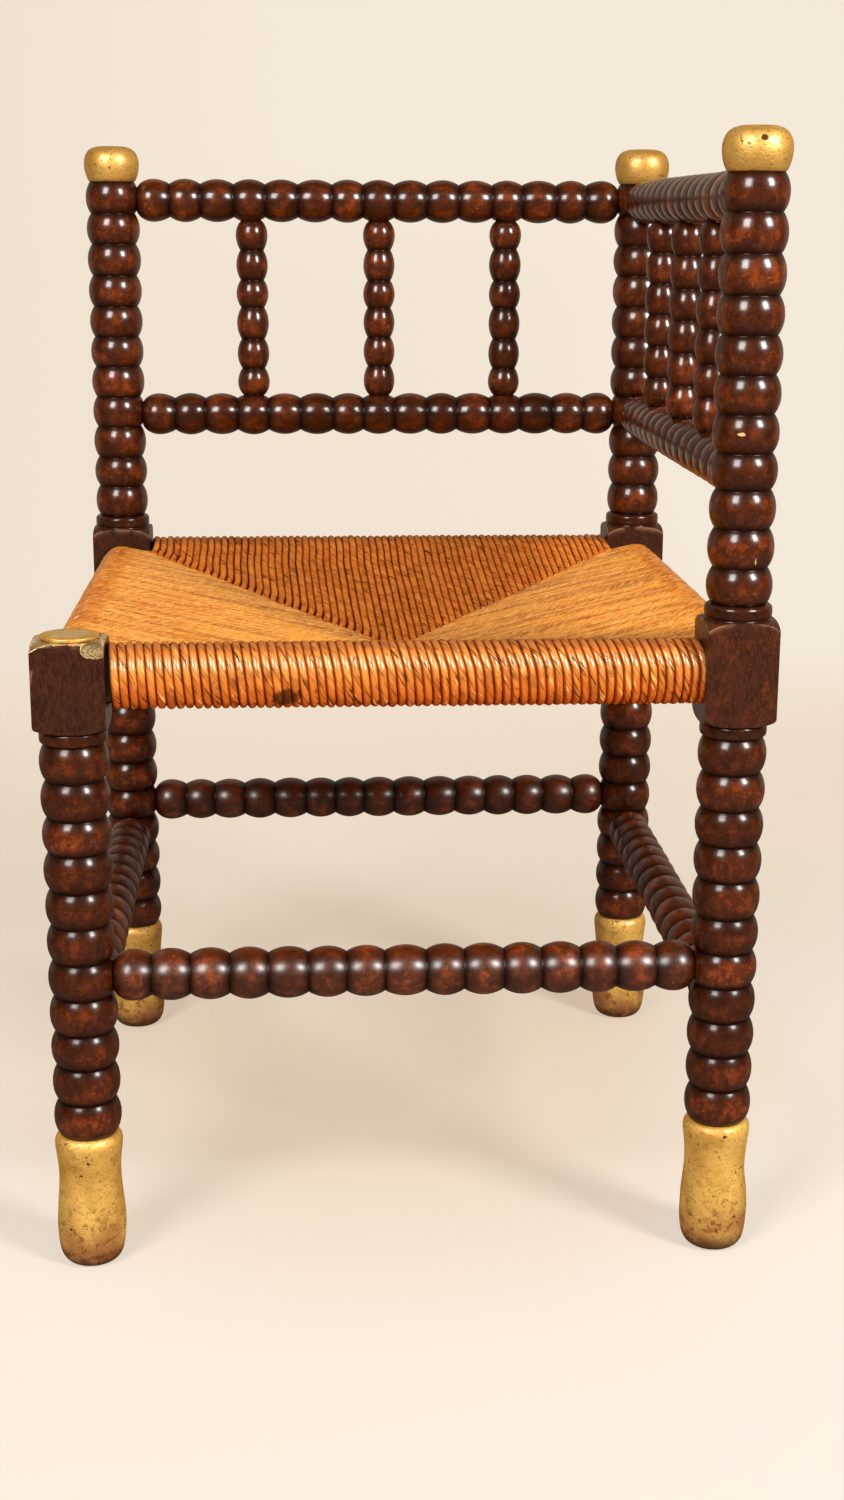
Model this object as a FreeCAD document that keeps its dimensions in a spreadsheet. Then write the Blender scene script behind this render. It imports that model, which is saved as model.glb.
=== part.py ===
import FreeCAD, Part
import math
import os
import types

import Sketcher

# Corner chair of bobbin-turned wood with a woven rush seat.
# Z is up and the floor is Z = 0; the origin is on the floor under the middle of the seat.
# The front of the chair faces -Y. The short post is at the front left, and the two closed
# sides, each with a top rail, a lower rail and three spindles, are the back and the right.

# Driving dimensions, in millimetres, with counts and shares where the name says so.
SIZES = {
    # Plan: between the axes of the posts.
    "post_span_x": 430.0,
    "post_span_y": 430.0,
    # Feet.
    "foot_height": 94.0,
    "foot_base_radius": 16.0,
    "foot_neck_radius": 19.5,
    "foot_waist_radius": 21.1,
    "foot_waist_height": 52.6,
    "foot_hollow": 1.6,
    "foot_base_round": 13.0,
    "foot_neck_round": 6.0,
    "foot_spigot_radius": 8.0,
    "foot_spigot_length": 22.0,
    # Posts: beads below the block, the square block, beads above it.
    "leg_bead_count": 11,
    "leg_bead_pitch": 24.7,
    "leg_bead_radius": 22.6,
    "upper_bead_count": 11,
    "upper_bead_pitch": 24.4,
    "upper_bead_radius": 21.4,
    "post_groove_depth": 3.2,
    "ring_height": 9.4,
    "ring_radius": 22.0,
    "ring_groove_depth": 1.8,
    "ring_round": 2.35,
    "block_width": 46.5,
    "block_height": 68.7,
    "short_block_height": 58.5,
    "shoulder_round": 14.0,
    # Finials on the tall posts and the cap on the short one.
    "finial_height": 26.5,
    "finial_radius": 22.4,
    "finial_fullest_height": 12.2,
    "finial_bow": 29.0,
    "finial_base_radius": 19.4,
    "finial_top_radius": 14.0,
    "finial_base_round": 3.0,
    "finial_top_round": 9.0,
    "finial_button_radius": 12.5,
    "finial_button_height": 1.0,
    "finial_spigot_radius": 6.0,
    "finial_spigot_length": 18.0,
    "cap_radius": 19.0,
    "cap_height": 2.6,
    "cap_round": 1.0,
    "cap_spigot_length": 12.0,
    # Rails, stretchers and spindles.
    "rail_bead_count": 15,
    "rail_bead_radius": 17.0,
    "stretcher_bead_radius": 17.4,
    "rail_groove_depth": 3.8,
    "spindle_count": 3,
    "spindle_bead_count": 6,
    "spindle_bead_radius": 13.0,
    "spindle_groove_depth": 3.2,
    "spindle_every_beads": 4,
    # Which bead of its post a rail enters, counted down from the top one.
    "top_rail_bead": 1,
    "lower_rail_bead": 8,
    "front_stretcher_bead": 7,
    "side_stretcher_bead": 8,
    # How far below the middle of its bead a back or side rail enters.
    "rail_drop": 2.0,
    # Shape of a bead: the bow of its middle as a share of the groove's depth, and the
    # rounding of its ends as a share of its pitch.
    "post_bow_share": 0.35,
    "rail_bow_share": 0.65,
    "bead_end_share": 0.2,
    # Round tenons: how far an end bead and its neck sink into the crest that they meet,
    # how far from the axis the tenon stops, and the room around it.
    "bead_sink": 0.6,
    "neck_depth": 4.8,
    "rail_tenon_radius": 6.5,
    "rail_tenon_stop": 8.0,
    "spindle_sink": 1.2,
    "spindle_neck_depth": 3.6,
    "spindle_tenon_radius": 5.0,
    "spindle_tenon_stop": 4.0,
    "tenon_fit": 0.1,
    "tenon_end_gap": 0.4,
    # Seat rails and the rush around them.
    "seat_rail_thickness": 19.0,
    "seat_rail_height": 32.0,
    "seat_rail_round": 6.0,
    "seat_tenon_radius": 7.0,
    "seat_tenon_length": 14.5,
    "rush_thickness": 6.0,
    "rush_clearance": 0.3,
    "crest_above_block": 55.5,
    "seat_dip": 42.0,
    "seat_middle_thickness": 13.0,
}

# A side that is to be nearly straight is bowed by an arc of this many times its length.
NEARLY_STRAIGHT = 6
# A cut runs out past its solid to this many times the solid's own reach.
WELL_PAST = 2
# Two lengths this close are the same, in millimetres.
SAME_LENGTH = 1e-6

AXIS_UP = FreeCAD.Vector(0, 0, 1)
DIRECTIONS = {
    "+X": FreeCAD.Vector(1, 0, 0),
    "-X": FreeCAD.Vector(-1, 0, 0),
    "+Y": FreeCAD.Vector(0, 1, 0),
    "-Y": FreeCAD.Vector(0, -1, 0),
    "+Z": AXIS_UP,
}
# A rail is turned along its own Z; laid down, its own X points up.
LAID_ALONG = {
    "X": FreeCAD.Rotation(AXIS_UP, FreeCAD.Vector(0, -1, 0), FreeCAD.Vector(1, 0, 0), "ZXY"),
    "Y": FreeCAD.Rotation(AXIS_UP, FreeCAD.Vector(1, 0, 0), FreeCAD.Vector(0, 1, 0), "ZXY"),
}


class Size:
    """A size worked out from the sheet: its value now, and the expression that keeps it so."""

    def __init__(self, value, text):
        self.value = float(value)
        self.text = text

    @staticmethod
    def of(number):
        return number if isinstance(number, Size) else Size(number, repr(number))

    def joined(self, sign, other, value):
        return Size(value, f"({self.text} {sign} {other.text})")

    def __add__(self, other):
        other = Size.of(other)
        return self.joined("+", other, self.value + other.value)

    def __radd__(self, other):
        return Size.of(other) + self

    def __sub__(self, other):
        other = Size.of(other)
        return self.joined("-", other, self.value - other.value)

    def __mul__(self, other):
        other = Size.of(other)
        return self.joined("*", other, self.value * other.value)

    def __truediv__(self, other):
        other = Size.of(other)
        return self.joined("/", other, self.value / other.value)

    def __neg__(self):
        return Size(-self.value, f"(-1 * {self.text})")


def fill_sheet(doc):
    """Put the driving dimensions into the sheet, and return them under their names."""
    sheet = doc.addObject("Spreadsheet::Sheet", "Sizes")
    named = {}
    for row, (alias, number) in enumerate(SIZES.items(), start=1):
        sheet.set(f"A{row}", alias)
        sheet.set(f"B{row}", str(number))
        sheet.setAlias(f"B{row}", alias)
        named[alias] = Size(number, f"Sizes.{alias}")
    doc.recompute()
    return types.SimpleNamespace(**named)


def bind(item, name, size):
    item.setExpression(name, Size.of(size).text)


def place(item, x, y, z, rotation=None):
    """Set where an object is, bound to the sheet, and how it is turned."""
    sizes = [Size.of(size) for size in (x, y, z)]
    base = FreeCAD.Vector(*[size.value for size in sizes])
    item.Placement = FreeCAD.Placement(base, rotation or FreeCAD.Rotation())
    for axis, size in zip("xyz", sizes):
        bind(item, f"Placement.Base.{axis}", size)


def origin_feature(body, role):
    return next(item for item in body.Origin.OriginFeatures if item.Role == role)


def new_body(label):
    body = doc.addObject("PartDesign::Body", label)
    body.Label = label
    return body


class Outline:
    """A closed outline in a sketch on one of a body's own planes, drawn anticlockwise.

    Each curve is kept as its index and the numbers of its first and last point.
    """

    def __init__(self, body, name, plane):
        self.sketch = body.newObject("Sketcher::SketchObject", name)
        self.sketch.AttachmentSupport = [(origin_feature(body, plane), "")]
        self.sketch.MapMode = "FlatFace"

    def line(self, start, end):
        ends = [FreeCAD.Vector(x, y, 0) for x, y in (start, end)]
        return self.sketch.addGeometry(Part.LineSegment(*ends), False), 1, 2

    def arc(self, centre, start, end, hollow=False):
        first, last = (end, start) if hollow else (start, end)
        angles = [math.atan2(y - centre[1], x - centre[0]) for x, y in (first, last)]
        if angles[1] < angles[0]:
            angles[1] += 2 * math.pi
        circle = Part.Circle(FreeCAD.Vector(*centre, 0), AXIS_UP, math.dist(centre, start))
        index = self.sketch.addGeometry(Part.ArcOfCircle(circle, *angles), False)
        return (index, 2, 1) if hollow else (index, 1, 2)

    def join(self, curves, smooth=()):
        """Close the curves end to end, running smoothly out of those numbered in smooth."""
        for number, curve in enumerate(curves):
            following = curves[(number + 1) % len(curves)]
            kind = "Tangent" if number in smooth else "Coincident"
            self.add(kind, curve[0], curve[2], following[0], following[1])

    def add(self, *terms):
        return self.sketch.addConstraint(Sketcher.Constraint(*terms))

    def hold(self, index, point, x=None, y=None):
        """Hold a point at the sizes given; a plain 0 puts it on the axis."""
        for kind, axis, size in (("DistanceX", -2, x), ("DistanceY", -1, y)):
            if size is None:
                continue
            if not isinstance(size, Size):
                self.add("PointOnObject", index, point, axis)
                continue
            number = self.add(kind, -1, 1, index, point, size.value)
            self.sketch.setExpression(f"Constraints[{number}]", size.text)

    def radius(self, index, size):
        number = self.add("Radius", index, size.value)
        self.sketch.setExpression(f"Constraints[{number}]", size.text)

    def polygon(self, corners):
        """Straight lines from corner to corner, each corner held by its two sizes."""
        points = [(Size.of(x).value, Size.of(y).value) for x, y in corners]
        curves = [self.line(a, b) for a, b in zip(points, points[1:] + points[:1])]
        self.join(curves)
        for curve, (x, y) in zip(curves, corners):
            self.hold(curve[0], curve[1], x, y)


def rounding_centre(point, radius, middle, reach, upward):
    """Centre of a circle through a point that touches the circle whose centre is middle."""
    apart = math.dist(point, middle)
    along = (radius ** 2 - reach ** 2 + apart ** 2) / (2 * apart)
    across = math.sqrt(radius ** 2 - along ** 2)
    step = ((middle[0] - point[0]) / apart, (middle[1] - point[1]) / apart)
    both = [
        (point[0] + step[0] * along - side * step[1] * across,
         point[1] + step[1] * along + side * step[0] * across)
        for side in (1, -1)
    ]
    return max(both, key=lambda centre: centre[1] * (1 if upward else -1))


def turned(body, name, low, high, middle, bow, hollow=False):
    """A turned length of a body: one bowed arc up its side, rounded into both flat ends.

    low and high are (height, end radius, rounding); middle is (height, radius) where the
    bow turns, and hollow makes it a waist.
    """
    outline = Outline(body, f"{name}_outline", "XZ_Plane")
    pivot = middle[1] + bow if hollow else middle[1] - bow
    pivot_at = (pivot.value, middle[0].value)
    ends = []
    for height, radius, rounding in (low, high):
        point = (radius.value, Size.of(height).value)
        reach = bow.value + rounding.value * (1 if hollow else -1)
        centre = rounding_centre(point, rounding.value, pivot_at, reach, not ends)
        share = bow.value / reach
        touch = tuple(p + (c - p) * share for p, c in zip(pivot_at, centre))
        ends.append((point, centre, touch))
    (bottom, bottom_centre, bottom_touch), (top, top_centre, top_touch) = ends
    curves = [
        outline.line((0, bottom[1]), bottom),
        outline.arc(bottom_centre, bottom, bottom_touch),
        outline.arc(pivot_at, bottom_touch, top_touch, hollow),
        outline.arc(top_centre, top_touch, top),
        outline.line(top, (0, top[1])),
        outline.line((0, top[1]), (0, bottom[1])),
    ]
    outline.join(curves, smooth=(1, 2))
    base, low_round, side, high_round, cover, _axis = [curve[0] for curve in curves]
    outline.hold(base, 1, 0, low[0])
    outline.hold(base, 2, low[1])
    outline.add("Horizontal", base)
    outline.hold(cover, 1, high[1], high[0])
    outline.hold(cover, 2, 0)
    outline.add("Horizontal", cover)
    outline.radius(low_round, low[2])
    outline.radius(side, bow)
    outline.radius(high_round, high[2])
    outline.hold(side, 3, pivot, middle[0])
    turning = body.newObject("PartDesign::Revolution", name)
    turning.Profile = outline.sketch
    turning.ReferenceAxis = (outline.sketch, ["V_Axis"])
    turning.Angle = 360
    return turning


def bow_radius(half_length, rise):
    """Radius of an arc that rises this far over this half length."""
    return (half_length * half_length + rise * rise) / (rise * 2)


def beads(body, name, start, count, pitch, radius, groove_depth, bow_share):
    """A run of equal turned beads up a body's axis, one touching the next."""
    end_radius = radius - groove_depth
    rounding = pitch * d.bead_end_share
    bow = bow_radius(pitch / 2, groove_depth * bow_share)
    low = (start, end_radius, rounding)
    high = (start + pitch, end_radius, rounding)
    bead = turned(body, name, low, high, (start + pitch / 2, radius), bow)
    run = body.newObject("PartDesign::LinearPattern", f"{name}_run")
    run.Originals = [bead]
    run.Direction = (origin_feature(body, "Z_Axis"), [""])
    run.Mode = "Spacing"
    bind(run, "Offset", pitch)
    bind(run, "Occurrences", count)
    body.Tip = run


def ring(body, name, start):
    """A thin turned ring between the beads and the block."""
    edge = d.ring_radius - d.ring_groove_depth
    bow = bow_radius(d.ring_height / 2, d.ring_groove_depth * d.rail_bow_share)
    low = (start, edge, d.ring_round)
    high = (start + d.ring_height, edge, d.ring_round)
    turned(body, name, low, high, (start + d.ring_height / 2, d.ring_radius), bow)


def square_block(body, start, height):
    """The square block of a post, its two ends turned into rounded shoulders."""
    envelope = d.ring_radius + d.shoulder_round
    low = (start, d.ring_radius, d.shoulder_round)
    high = (start + height, d.ring_radius, d.shoulder_round)
    turned(body, "block", low, high, (start + height / 2, envelope), height * NEARLY_STRAIGHT)
    squared = Outline(body, "block_sides", "XY_Plane")
    for half in (d.block_width / 2, envelope * WELL_PAST):
        squared.polygon([(-half, -half), (half, -half), (half, half), (-half, half)])
    base = FreeCAD.Vector(0, 0, start.value)
    squared.sketch.AttachmentOffset = FreeCAD.Placement(base, FreeCAD.Rotation())
    bind(squared.sketch, "AttachmentOffset.Base.z", start)
    sides = body.newObject("PartDesign::Pocket", "block_faces")
    sides.Profile = squared.sketch
    sides.Reversed = True
    bind(sides, "Length", height)


def stub(body, name, radius, start, length):
    """A round tenon, neck or spigot along a body's axis."""
    pin = body.newObject("PartDesign::AdditiveCylinder", name)
    bind(pin, "Radius", radius)
    bind(pin, "Height", length)
    place(pin, 0, 0, start)


def bore(body, name, radius, facing, distance, height, length):
    """A round hole that starts at a distance from the axis and runs out the way it faces."""
    direction = DIRECTIONS[facing]
    hole = body.newObject("PartDesign::SubtractiveCylinder", name)
    bind(hole, "Radius", radius)
    bind(hole, "Height", length)
    sideways = [distance * int(step) if step else 0 for step in (direction.x, direction.y)]
    place(hole, *sideways, height, FreeCAD.Rotation(AXIS_UP, direction))


def rail_socket(body, name, facing, height, crest, groove_depth, bead_radius):
    """The stepped hole in a post's bead for the neck and the tenon of a turned rail."""
    neck = bead_radius - groove_depth + d.tenon_fit
    tenon = d.rail_tenon_radius + d.tenon_fit
    bore(body, f"{name}_neck_hole", neck, facing, crest - d.neck_depth, height, crest)
    bore(body, f"{name}_hole", tenon, facing, d.rail_tenon_stop - d.tenon_end_gap, height, crest)


def post(name, x, y, facings, rail_facings):
    """A turned post with its sockets; without rail_facings it is the short one."""
    tall = bool(rail_facings)
    body = new_body(f"{name}_post")
    place(body, x, y, 0)
    beads(body, "leg_bead", d.foot_height, d.leg_bead_count, d.leg_bead_pitch, d.leg_bead_radius,
          d.post_groove_depth, d.post_bow_share)
    ring(body, "lower_ring", leg_top)
    block_height = d.block_height if tall else d.short_block_height
    square_block(body, block_bottom, block_height)
    if tall:
        ring(body, "upper_ring", block_bottom + d.block_height)
        beads(body, "upper_bead", upper_start, d.upper_bead_count, d.upper_bead_pitch,
              d.upper_bead_radius, d.post_groove_depth, d.post_bow_share)
    bore(body, "foot_hole", d.foot_spigot_radius + d.tenon_fit, "+Z", 0, d.foot_height,
         d.foot_spigot_length + d.tenon_end_gap)
    spigot = d.finial_spigot_length if tall else d.cap_spigot_length
    end = upper_top if tall else block_bottom + block_height
    bore(body, "top_hole", d.finial_spigot_radius + d.tenon_fit, "+Z", 0,
         end - spigot - d.tenon_end_gap, d.block_height)
    for facing in facings:
        height = front_stretcher_z if facing[1] == "X" else side_stretcher_z
        rail_socket(body, "stretcher", facing, height, d.leg_bead_radius, d.rail_groove_depth,
                    d.stretcher_bead_radius)
        bore(body, "seat_rail_hole", d.seat_tenon_radius + d.tenon_fit, facing,
             d.block_width / 2 - d.seat_tenon_length - d.tenon_end_gap, seat_rail_z, d.block_width)
    for facing in rail_facings:
        for level, height in (("top_rail", top_rail_z), ("lower_rail", lower_rail_z)):
            rail_socket(body, level, facing, height, d.upper_bead_radius, d.rail_groove_depth,
                        d.rail_bead_radius)
    return body


def foot(name, x, y):
    body = new_body(f"{name}_foot")
    place(body, x, y, 0)
    bow = bow_radius(d.foot_height - d.foot_waist_height, d.foot_hollow)
    low = (0, d.foot_base_radius, d.foot_base_round)
    high = (d.foot_height, d.foot_neck_radius, d.foot_neck_round)
    waist = (d.foot_waist_height, d.foot_waist_radius)
    turned(body, "foot", low, high, waist, bow, hollow=True)
    stub(body, "spigot", d.foot_spigot_radius, d.foot_height, d.foot_spigot_length)
    return body


def finial(name, x, y):
    body = new_body(f"{name}_finial")
    place(body, x, y, upper_top)
    low = (0, d.finial_base_radius, d.finial_base_round)
    high = (d.finial_height, d.finial_top_radius, d.finial_top_round)
    turned(body, "bun", low, high, (d.finial_fullest_height, d.finial_radius), d.finial_bow)
    stub(body, "button", d.finial_button_radius, d.finial_height, d.finial_button_height)
    stub(body, "spigot", d.finial_spigot_radius, -d.finial_spigot_length, d.finial_spigot_length)
    return body


def cap(name, x, y):
    body = new_body(f"{name}_cap")
    place(body, x, y, block_bottom + d.short_block_height)
    edge = d.cap_radius - d.cap_round
    low = (0, edge, d.cap_round)
    high = (d.cap_height, edge, d.cap_round)
    turned(body, "disc", low, high, (d.cap_height / 2, d.cap_radius), d.cap_radius)
    stub(body, "spigot", d.finial_spigot_radius, -d.cap_spigot_length, d.cap_spigot_length)
    return body


def turned_rail(label, along, x, y, z, crest, radius, spindles_face=None):
    """A bead-turned rail with a neck and a tenon at each end, between two posts.

    crest is the radius of the post bead that it enters. spindles_face is the way its own X
    points for the spindles' sockets: up out of a lower rail, down out of a top rail.
    """
    span = d.post_span_x if along == "X" else d.post_span_y
    start = crest - d.bead_sink
    run = span - start * 2
    body = new_body(label)
    corner = (start - span / 2, y) if along == "X" else (x, start - span / 2)
    place(body, *corner, z, LAID_ALONG[along])
    pitch = run / d.rail_bead_count
    beads(body, "bead", 0, d.rail_bead_count, pitch, radius, d.rail_groove_depth, d.rail_bow_share)
    neck = d.neck_depth - d.bead_sink
    tenon = crest - d.neck_depth - d.rail_tenon_stop
    neck_radius = radius - d.rail_groove_depth
    stub(body, "first_neck", neck_radius, -neck, neck)
    stub(body, "last_neck", neck_radius, run, neck)
    stub(body, "first_tenon", d.rail_tenon_radius, -neck - tenon, tenon)
    stub(body, "last_tenon", d.rail_tenon_radius, run + neck, tenon)
    if spindles_face:
        for number in range(SIZES["spindle_count"]):
            centre = run / 2 + spindle_offset(number, pitch)
            neck_hole = d.spindle_bead_radius - d.spindle_groove_depth + d.tenon_fit
            bore(body, "spindle_neck_hole", neck_hole, spindles_face,
                 d.rail_bead_radius - d.spindle_neck_depth, centre, d.rail_bead_radius)
            bore(body, "spindle_hole", d.spindle_tenon_radius + d.tenon_fit, spindles_face,
                 d.spindle_tenon_stop - d.tenon_end_gap, centre, d.rail_bead_radius)
    return body


def spindle_offset(number, pitch):
    """How far along its rail a spindle stands from the rail's middle: always on a bead."""
    middle = (SIZES["spindle_count"] - 1) / 2
    return pitch * d.spindle_every_beads * (number - middle)


def spindle(label, x, y):
    start = d.rail_bead_radius - d.spindle_sink
    run = top_rail_z - lower_rail_z - start * 2
    body = new_body(label)
    place(body, x, y, lower_rail_z + start)
    beads(body, "bead", 0, d.spindle_bead_count, run / d.spindle_bead_count, d.spindle_bead_radius,
          d.spindle_groove_depth, d.rail_bow_share)
    neck = d.spindle_neck_depth - d.spindle_sink
    tenon = d.rail_bead_radius - d.spindle_neck_depth - d.spindle_tenon_stop
    neck_radius = d.spindle_bead_radius - d.spindle_groove_depth
    stub(body, "lower_neck", neck_radius, -neck, neck)
    stub(body, "upper_neck", neck_radius, run, neck)
    stub(body, "lower_tenon", d.spindle_tenon_radius, -neck - tenon, tenon)
    stub(body, "upper_tenon", d.spindle_tenon_radius, run + neck, tenon)
    return body


def seat_rail(label, along, x, y):
    """A plain rail with rounded edges and round tenons, hidden in the rush."""
    span = d.post_span_x if along == "X" else d.post_span_y
    length = span - d.block_width
    body = new_body(label)
    corner = (-length / 2, y) if along == "X" else (x, -length / 2)
    place(body, *corner, seat_rail_z, LAID_ALONG[along])
    bar = body.newObject("PartDesign::AdditiveBox", "bar")
    bind(bar, "Length", d.seat_rail_height)
    bind(bar, "Width", d.seat_rail_thickness)
    bind(bar, "Height", length)
    place(bar, -d.seat_rail_height / 2, -d.seat_rail_thickness / 2, 0)
    doc.recompute()
    long_edges = [
        f"Edge{number}" for number, edge in enumerate(bar.Shape.Edges, start=1)
        if abs(edge.Length - length.value) < SAME_LENGTH
    ]
    edges = body.newObject("PartDesign::Fillet", "rounded_edges")
    edges.Base = (bar, long_edges)
    bind(edges, "Radius", d.seat_rail_round)
    stub(body, "first_tenon", d.seat_tenon_radius, -d.seat_tenon_length, d.seat_tenon_length)
    stub(body, "last_tenon", d.seat_tenon_radius, length, d.seat_tenon_length)
    return body


def rush_panel(label, span, reach, x, y, turn):
    """One of the four woven panels: the roll around its rail and the slope to the middle.

    It is drawn with its rail along X and the middle of the seat towards +Y.
    """
    body = new_body(label)
    place(body, x, y, 0, FreeCAD.Rotation(AXIS_UP, turn))
    half = d.seat_rail_thickness / 2 + d.rush_thickness
    bottom = seat_rail_z - d.seat_rail_height / 2 - d.rush_thickness
    slope = d.seat_dip / reach
    inner_top = crest_z - slope * reach
    inner_bottom = inner_top - d.seat_middle_thickness
    tilt = math.atan(slope.value)
    top_pivot = crest_z - half
    touch = (half.value * math.sin(tilt), top_pivot.value + half.value * math.cos(tilt))
    outline = Outline(body, "section", "YZ_Plane")
    reach_now = reach.value
    low_pivot = bottom + half
    curves = [
        outline.line((0, bottom.value), (reach_now, inner_bottom.value)),
        outline.line((reach_now, inner_bottom.value), (reach_now, inner_top.value)),
        outline.line((reach_now, inner_top.value), touch),
        outline.arc((0, top_pivot.value), touch, (-half.value, top_pivot.value)),
        outline.line((-half.value, top_pivot.value), (-half.value, low_pivot.value)),
        outline.arc((0, low_pivot.value), (-half.value, low_pivot.value), (0, bottom.value)),
    ]
    outline.join(curves, smooth=(2,))
    under, tip, _slope, crest, side, _roll = [curve[0] for curve in curves]
    outline.hold(under, 1, 0, bottom)
    outline.hold(tip, 1, reach, inner_bottom)
    outline.hold(tip, 2, reach, inner_top)
    outline.hold(crest, 3, 0, top_pivot)
    outline.radius(crest, half)
    outline.hold(side, 1, y=top_pivot)
    outline.hold(side, 2, -half, low_pivot)
    outline.radius(curves[5][0], half)
    panel = body.newObject("PartDesign::Pad", "panel")
    panel.Profile = outline.sketch
    panel.Midplane = True
    length = span - d.block_width
    bind(panel, "Length", length)
    # Each mitre runs from a post's axis through the middle of the seat.
    far = reach * WELL_PAST
    corner_y = d.block_width * reach / span
    for side_name, sign in (("left", -1), ("right", 1)):
        mitre = Outline(body, f"{side_name}_mitre", "XY_Plane")
        corner_x = length / 2 * sign
        crossed_x = span / 2 * (1 - WELL_PAST) * sign
        mitre.polygon([(corner_x, corner_y), (corner_x, far), (crossed_x, far)])
        cut = body.newObject("PartDesign::Pocket", f"{side_name}_mitre_cut")
        cut.Profile = mitre.sketch
        cut.Reversed = True
        bind(cut, "Length", crest_z * WELL_PAST)
    channel = body.newObject("PartDesign::SubtractiveBox", "rail_channel")
    bind(channel, "Length", length)
    bind(channel, "Width", d.seat_rail_thickness + d.rush_clearance * 2)
    bind(channel, "Height", d.seat_rail_height + d.rush_clearance * 2)
    place(channel, -length / 2, -d.seat_rail_thickness / 2 - d.rush_clearance,
          seat_rail_z - d.seat_rail_height / 2 - d.rush_clearance)
    return body


def write(bodies):
    """Check every object and every shape, and then write one file for each sub-part."""
    doc.recompute()
    failed = [item.Name for item in doc.Objects if {"Invalid", "Error"} & set(item.State)]
    failed += [
        body.Label for body in bodies
        if body.Shape.isNull() or not body.Shape.isValid() or len(body.Shape.Solids) != 1
    ]
    if failed:
        raise RuntimeError(f"not built: {', '.join(failed)}")
    os.makedirs("parts", exist_ok=True)
    for body in bodies:
        body.Shape.exportStep(f"parts/{body.Label}.step")


def bead_middle(run_top, number, pitch):
    """Height of the middle of a post's bead, counted down from the top of its run."""
    return run_top - number * pitch + pitch / 2


doc = FreeCAD.newDocument("corner_chair")
d = fill_sheet(doc)

# Heights up a post, and the height of each rail, from the bead that it enters.
leg_top = d.foot_height + d.leg_bead_count * d.leg_bead_pitch
block_bottom = leg_top + d.ring_height
upper_start = block_bottom + d.block_height + d.ring_height
upper_top = upper_start + d.upper_bead_count * d.upper_bead_pitch
top_rail_z = bead_middle(upper_top, d.top_rail_bead, d.upper_bead_pitch) - d.rail_drop
lower_rail_z = bead_middle(upper_top, d.lower_rail_bead, d.upper_bead_pitch) - d.rail_drop
front_stretcher_z = bead_middle(leg_top, d.front_stretcher_bead, d.leg_bead_pitch)
side_stretcher_z = bead_middle(leg_top, d.side_stretcher_bead, d.leg_bead_pitch)
crest_z = block_bottom + d.crest_above_block
seat_rail_z = crest_z - d.rush_thickness - d.seat_rail_height / 2

# Where the posts stand: left, right, front and back.
right_x = d.post_span_x / 2
left_x = -right_x
back_y = d.post_span_y / 2
front_y = -back_y

corners = {
    "front_left": (left_x, front_y, ("+X", "+Y"), ()),
    "front_right": (right_x, front_y, ("-X", "+Y"), ("+Y",)),
    "back_left": (left_x, back_y, ("+X", "-Y"), ("+X",)),
    "back_right": (right_x, back_y, ("-X", "-Y"), ("-X", "-Y")),
}
parts = []
for corner, (post_x, post_y, facings, rail_facings) in corners.items():
    parts.append(post(corner, post_x, post_y, facings, rail_facings))
    parts.append(foot(corner, post_x, post_y))
    topped = finial if rail_facings else cap
    parts.append(topped(corner, post_x, post_y))

for level, height, way in (("top", top_rail_z, "-X"), ("lower", lower_rail_z, "+X")):
    parts.append(turned_rail(f"back_{level}_rail", "X", 0, back_y, height, d.upper_bead_radius,
                             d.rail_bead_radius, way))
    parts.append(turned_rail(f"side_{level}_rail", "Y", right_x, 0, height, d.upper_bead_radius,
                             d.rail_bead_radius, way))

rail_gap = (d.upper_bead_radius - d.bead_sink) * 2
for number in range(SIZES["spindle_count"]):
    along_x = spindle_offset(number, (d.post_span_x - rail_gap) / d.rail_bead_count)
    along_y = spindle_offset(number, (d.post_span_y - rail_gap) / d.rail_bead_count)
    parts.append(spindle(f"back_spindle_{number + 1}", along_x, back_y))
    parts.append(spindle(f"side_spindle_{number + 1}", right_x, along_y))

for side, along, side_x, side_y, turn in (
    ("front", "X", 0, front_y, 0),
    ("right", "Y", right_x, 0, 90),
    ("back", "X", 0, back_y, 180),
    ("left", "Y", left_x, 0, 270),
):
    span, reach = (d.post_span_x, back_y) if along == "X" else (d.post_span_y, right_x)
    stretcher_z = front_stretcher_z if along == "X" else side_stretcher_z
    parts.append(turned_rail(f"{side}_stretcher", along, side_x, side_y, stretcher_z,
                             d.leg_bead_radius, d.stretcher_bead_radius))
    parts.append(seat_rail(f"{side}_seat_rail", along, side_x, side_y))
    parts.append(rush_panel(f"{side}_rush_panel", span, reach, side_x, side_y, turn))

write(parts)
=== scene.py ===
import math

import bpy
from mathutils import Matrix, Vector, noise


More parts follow.
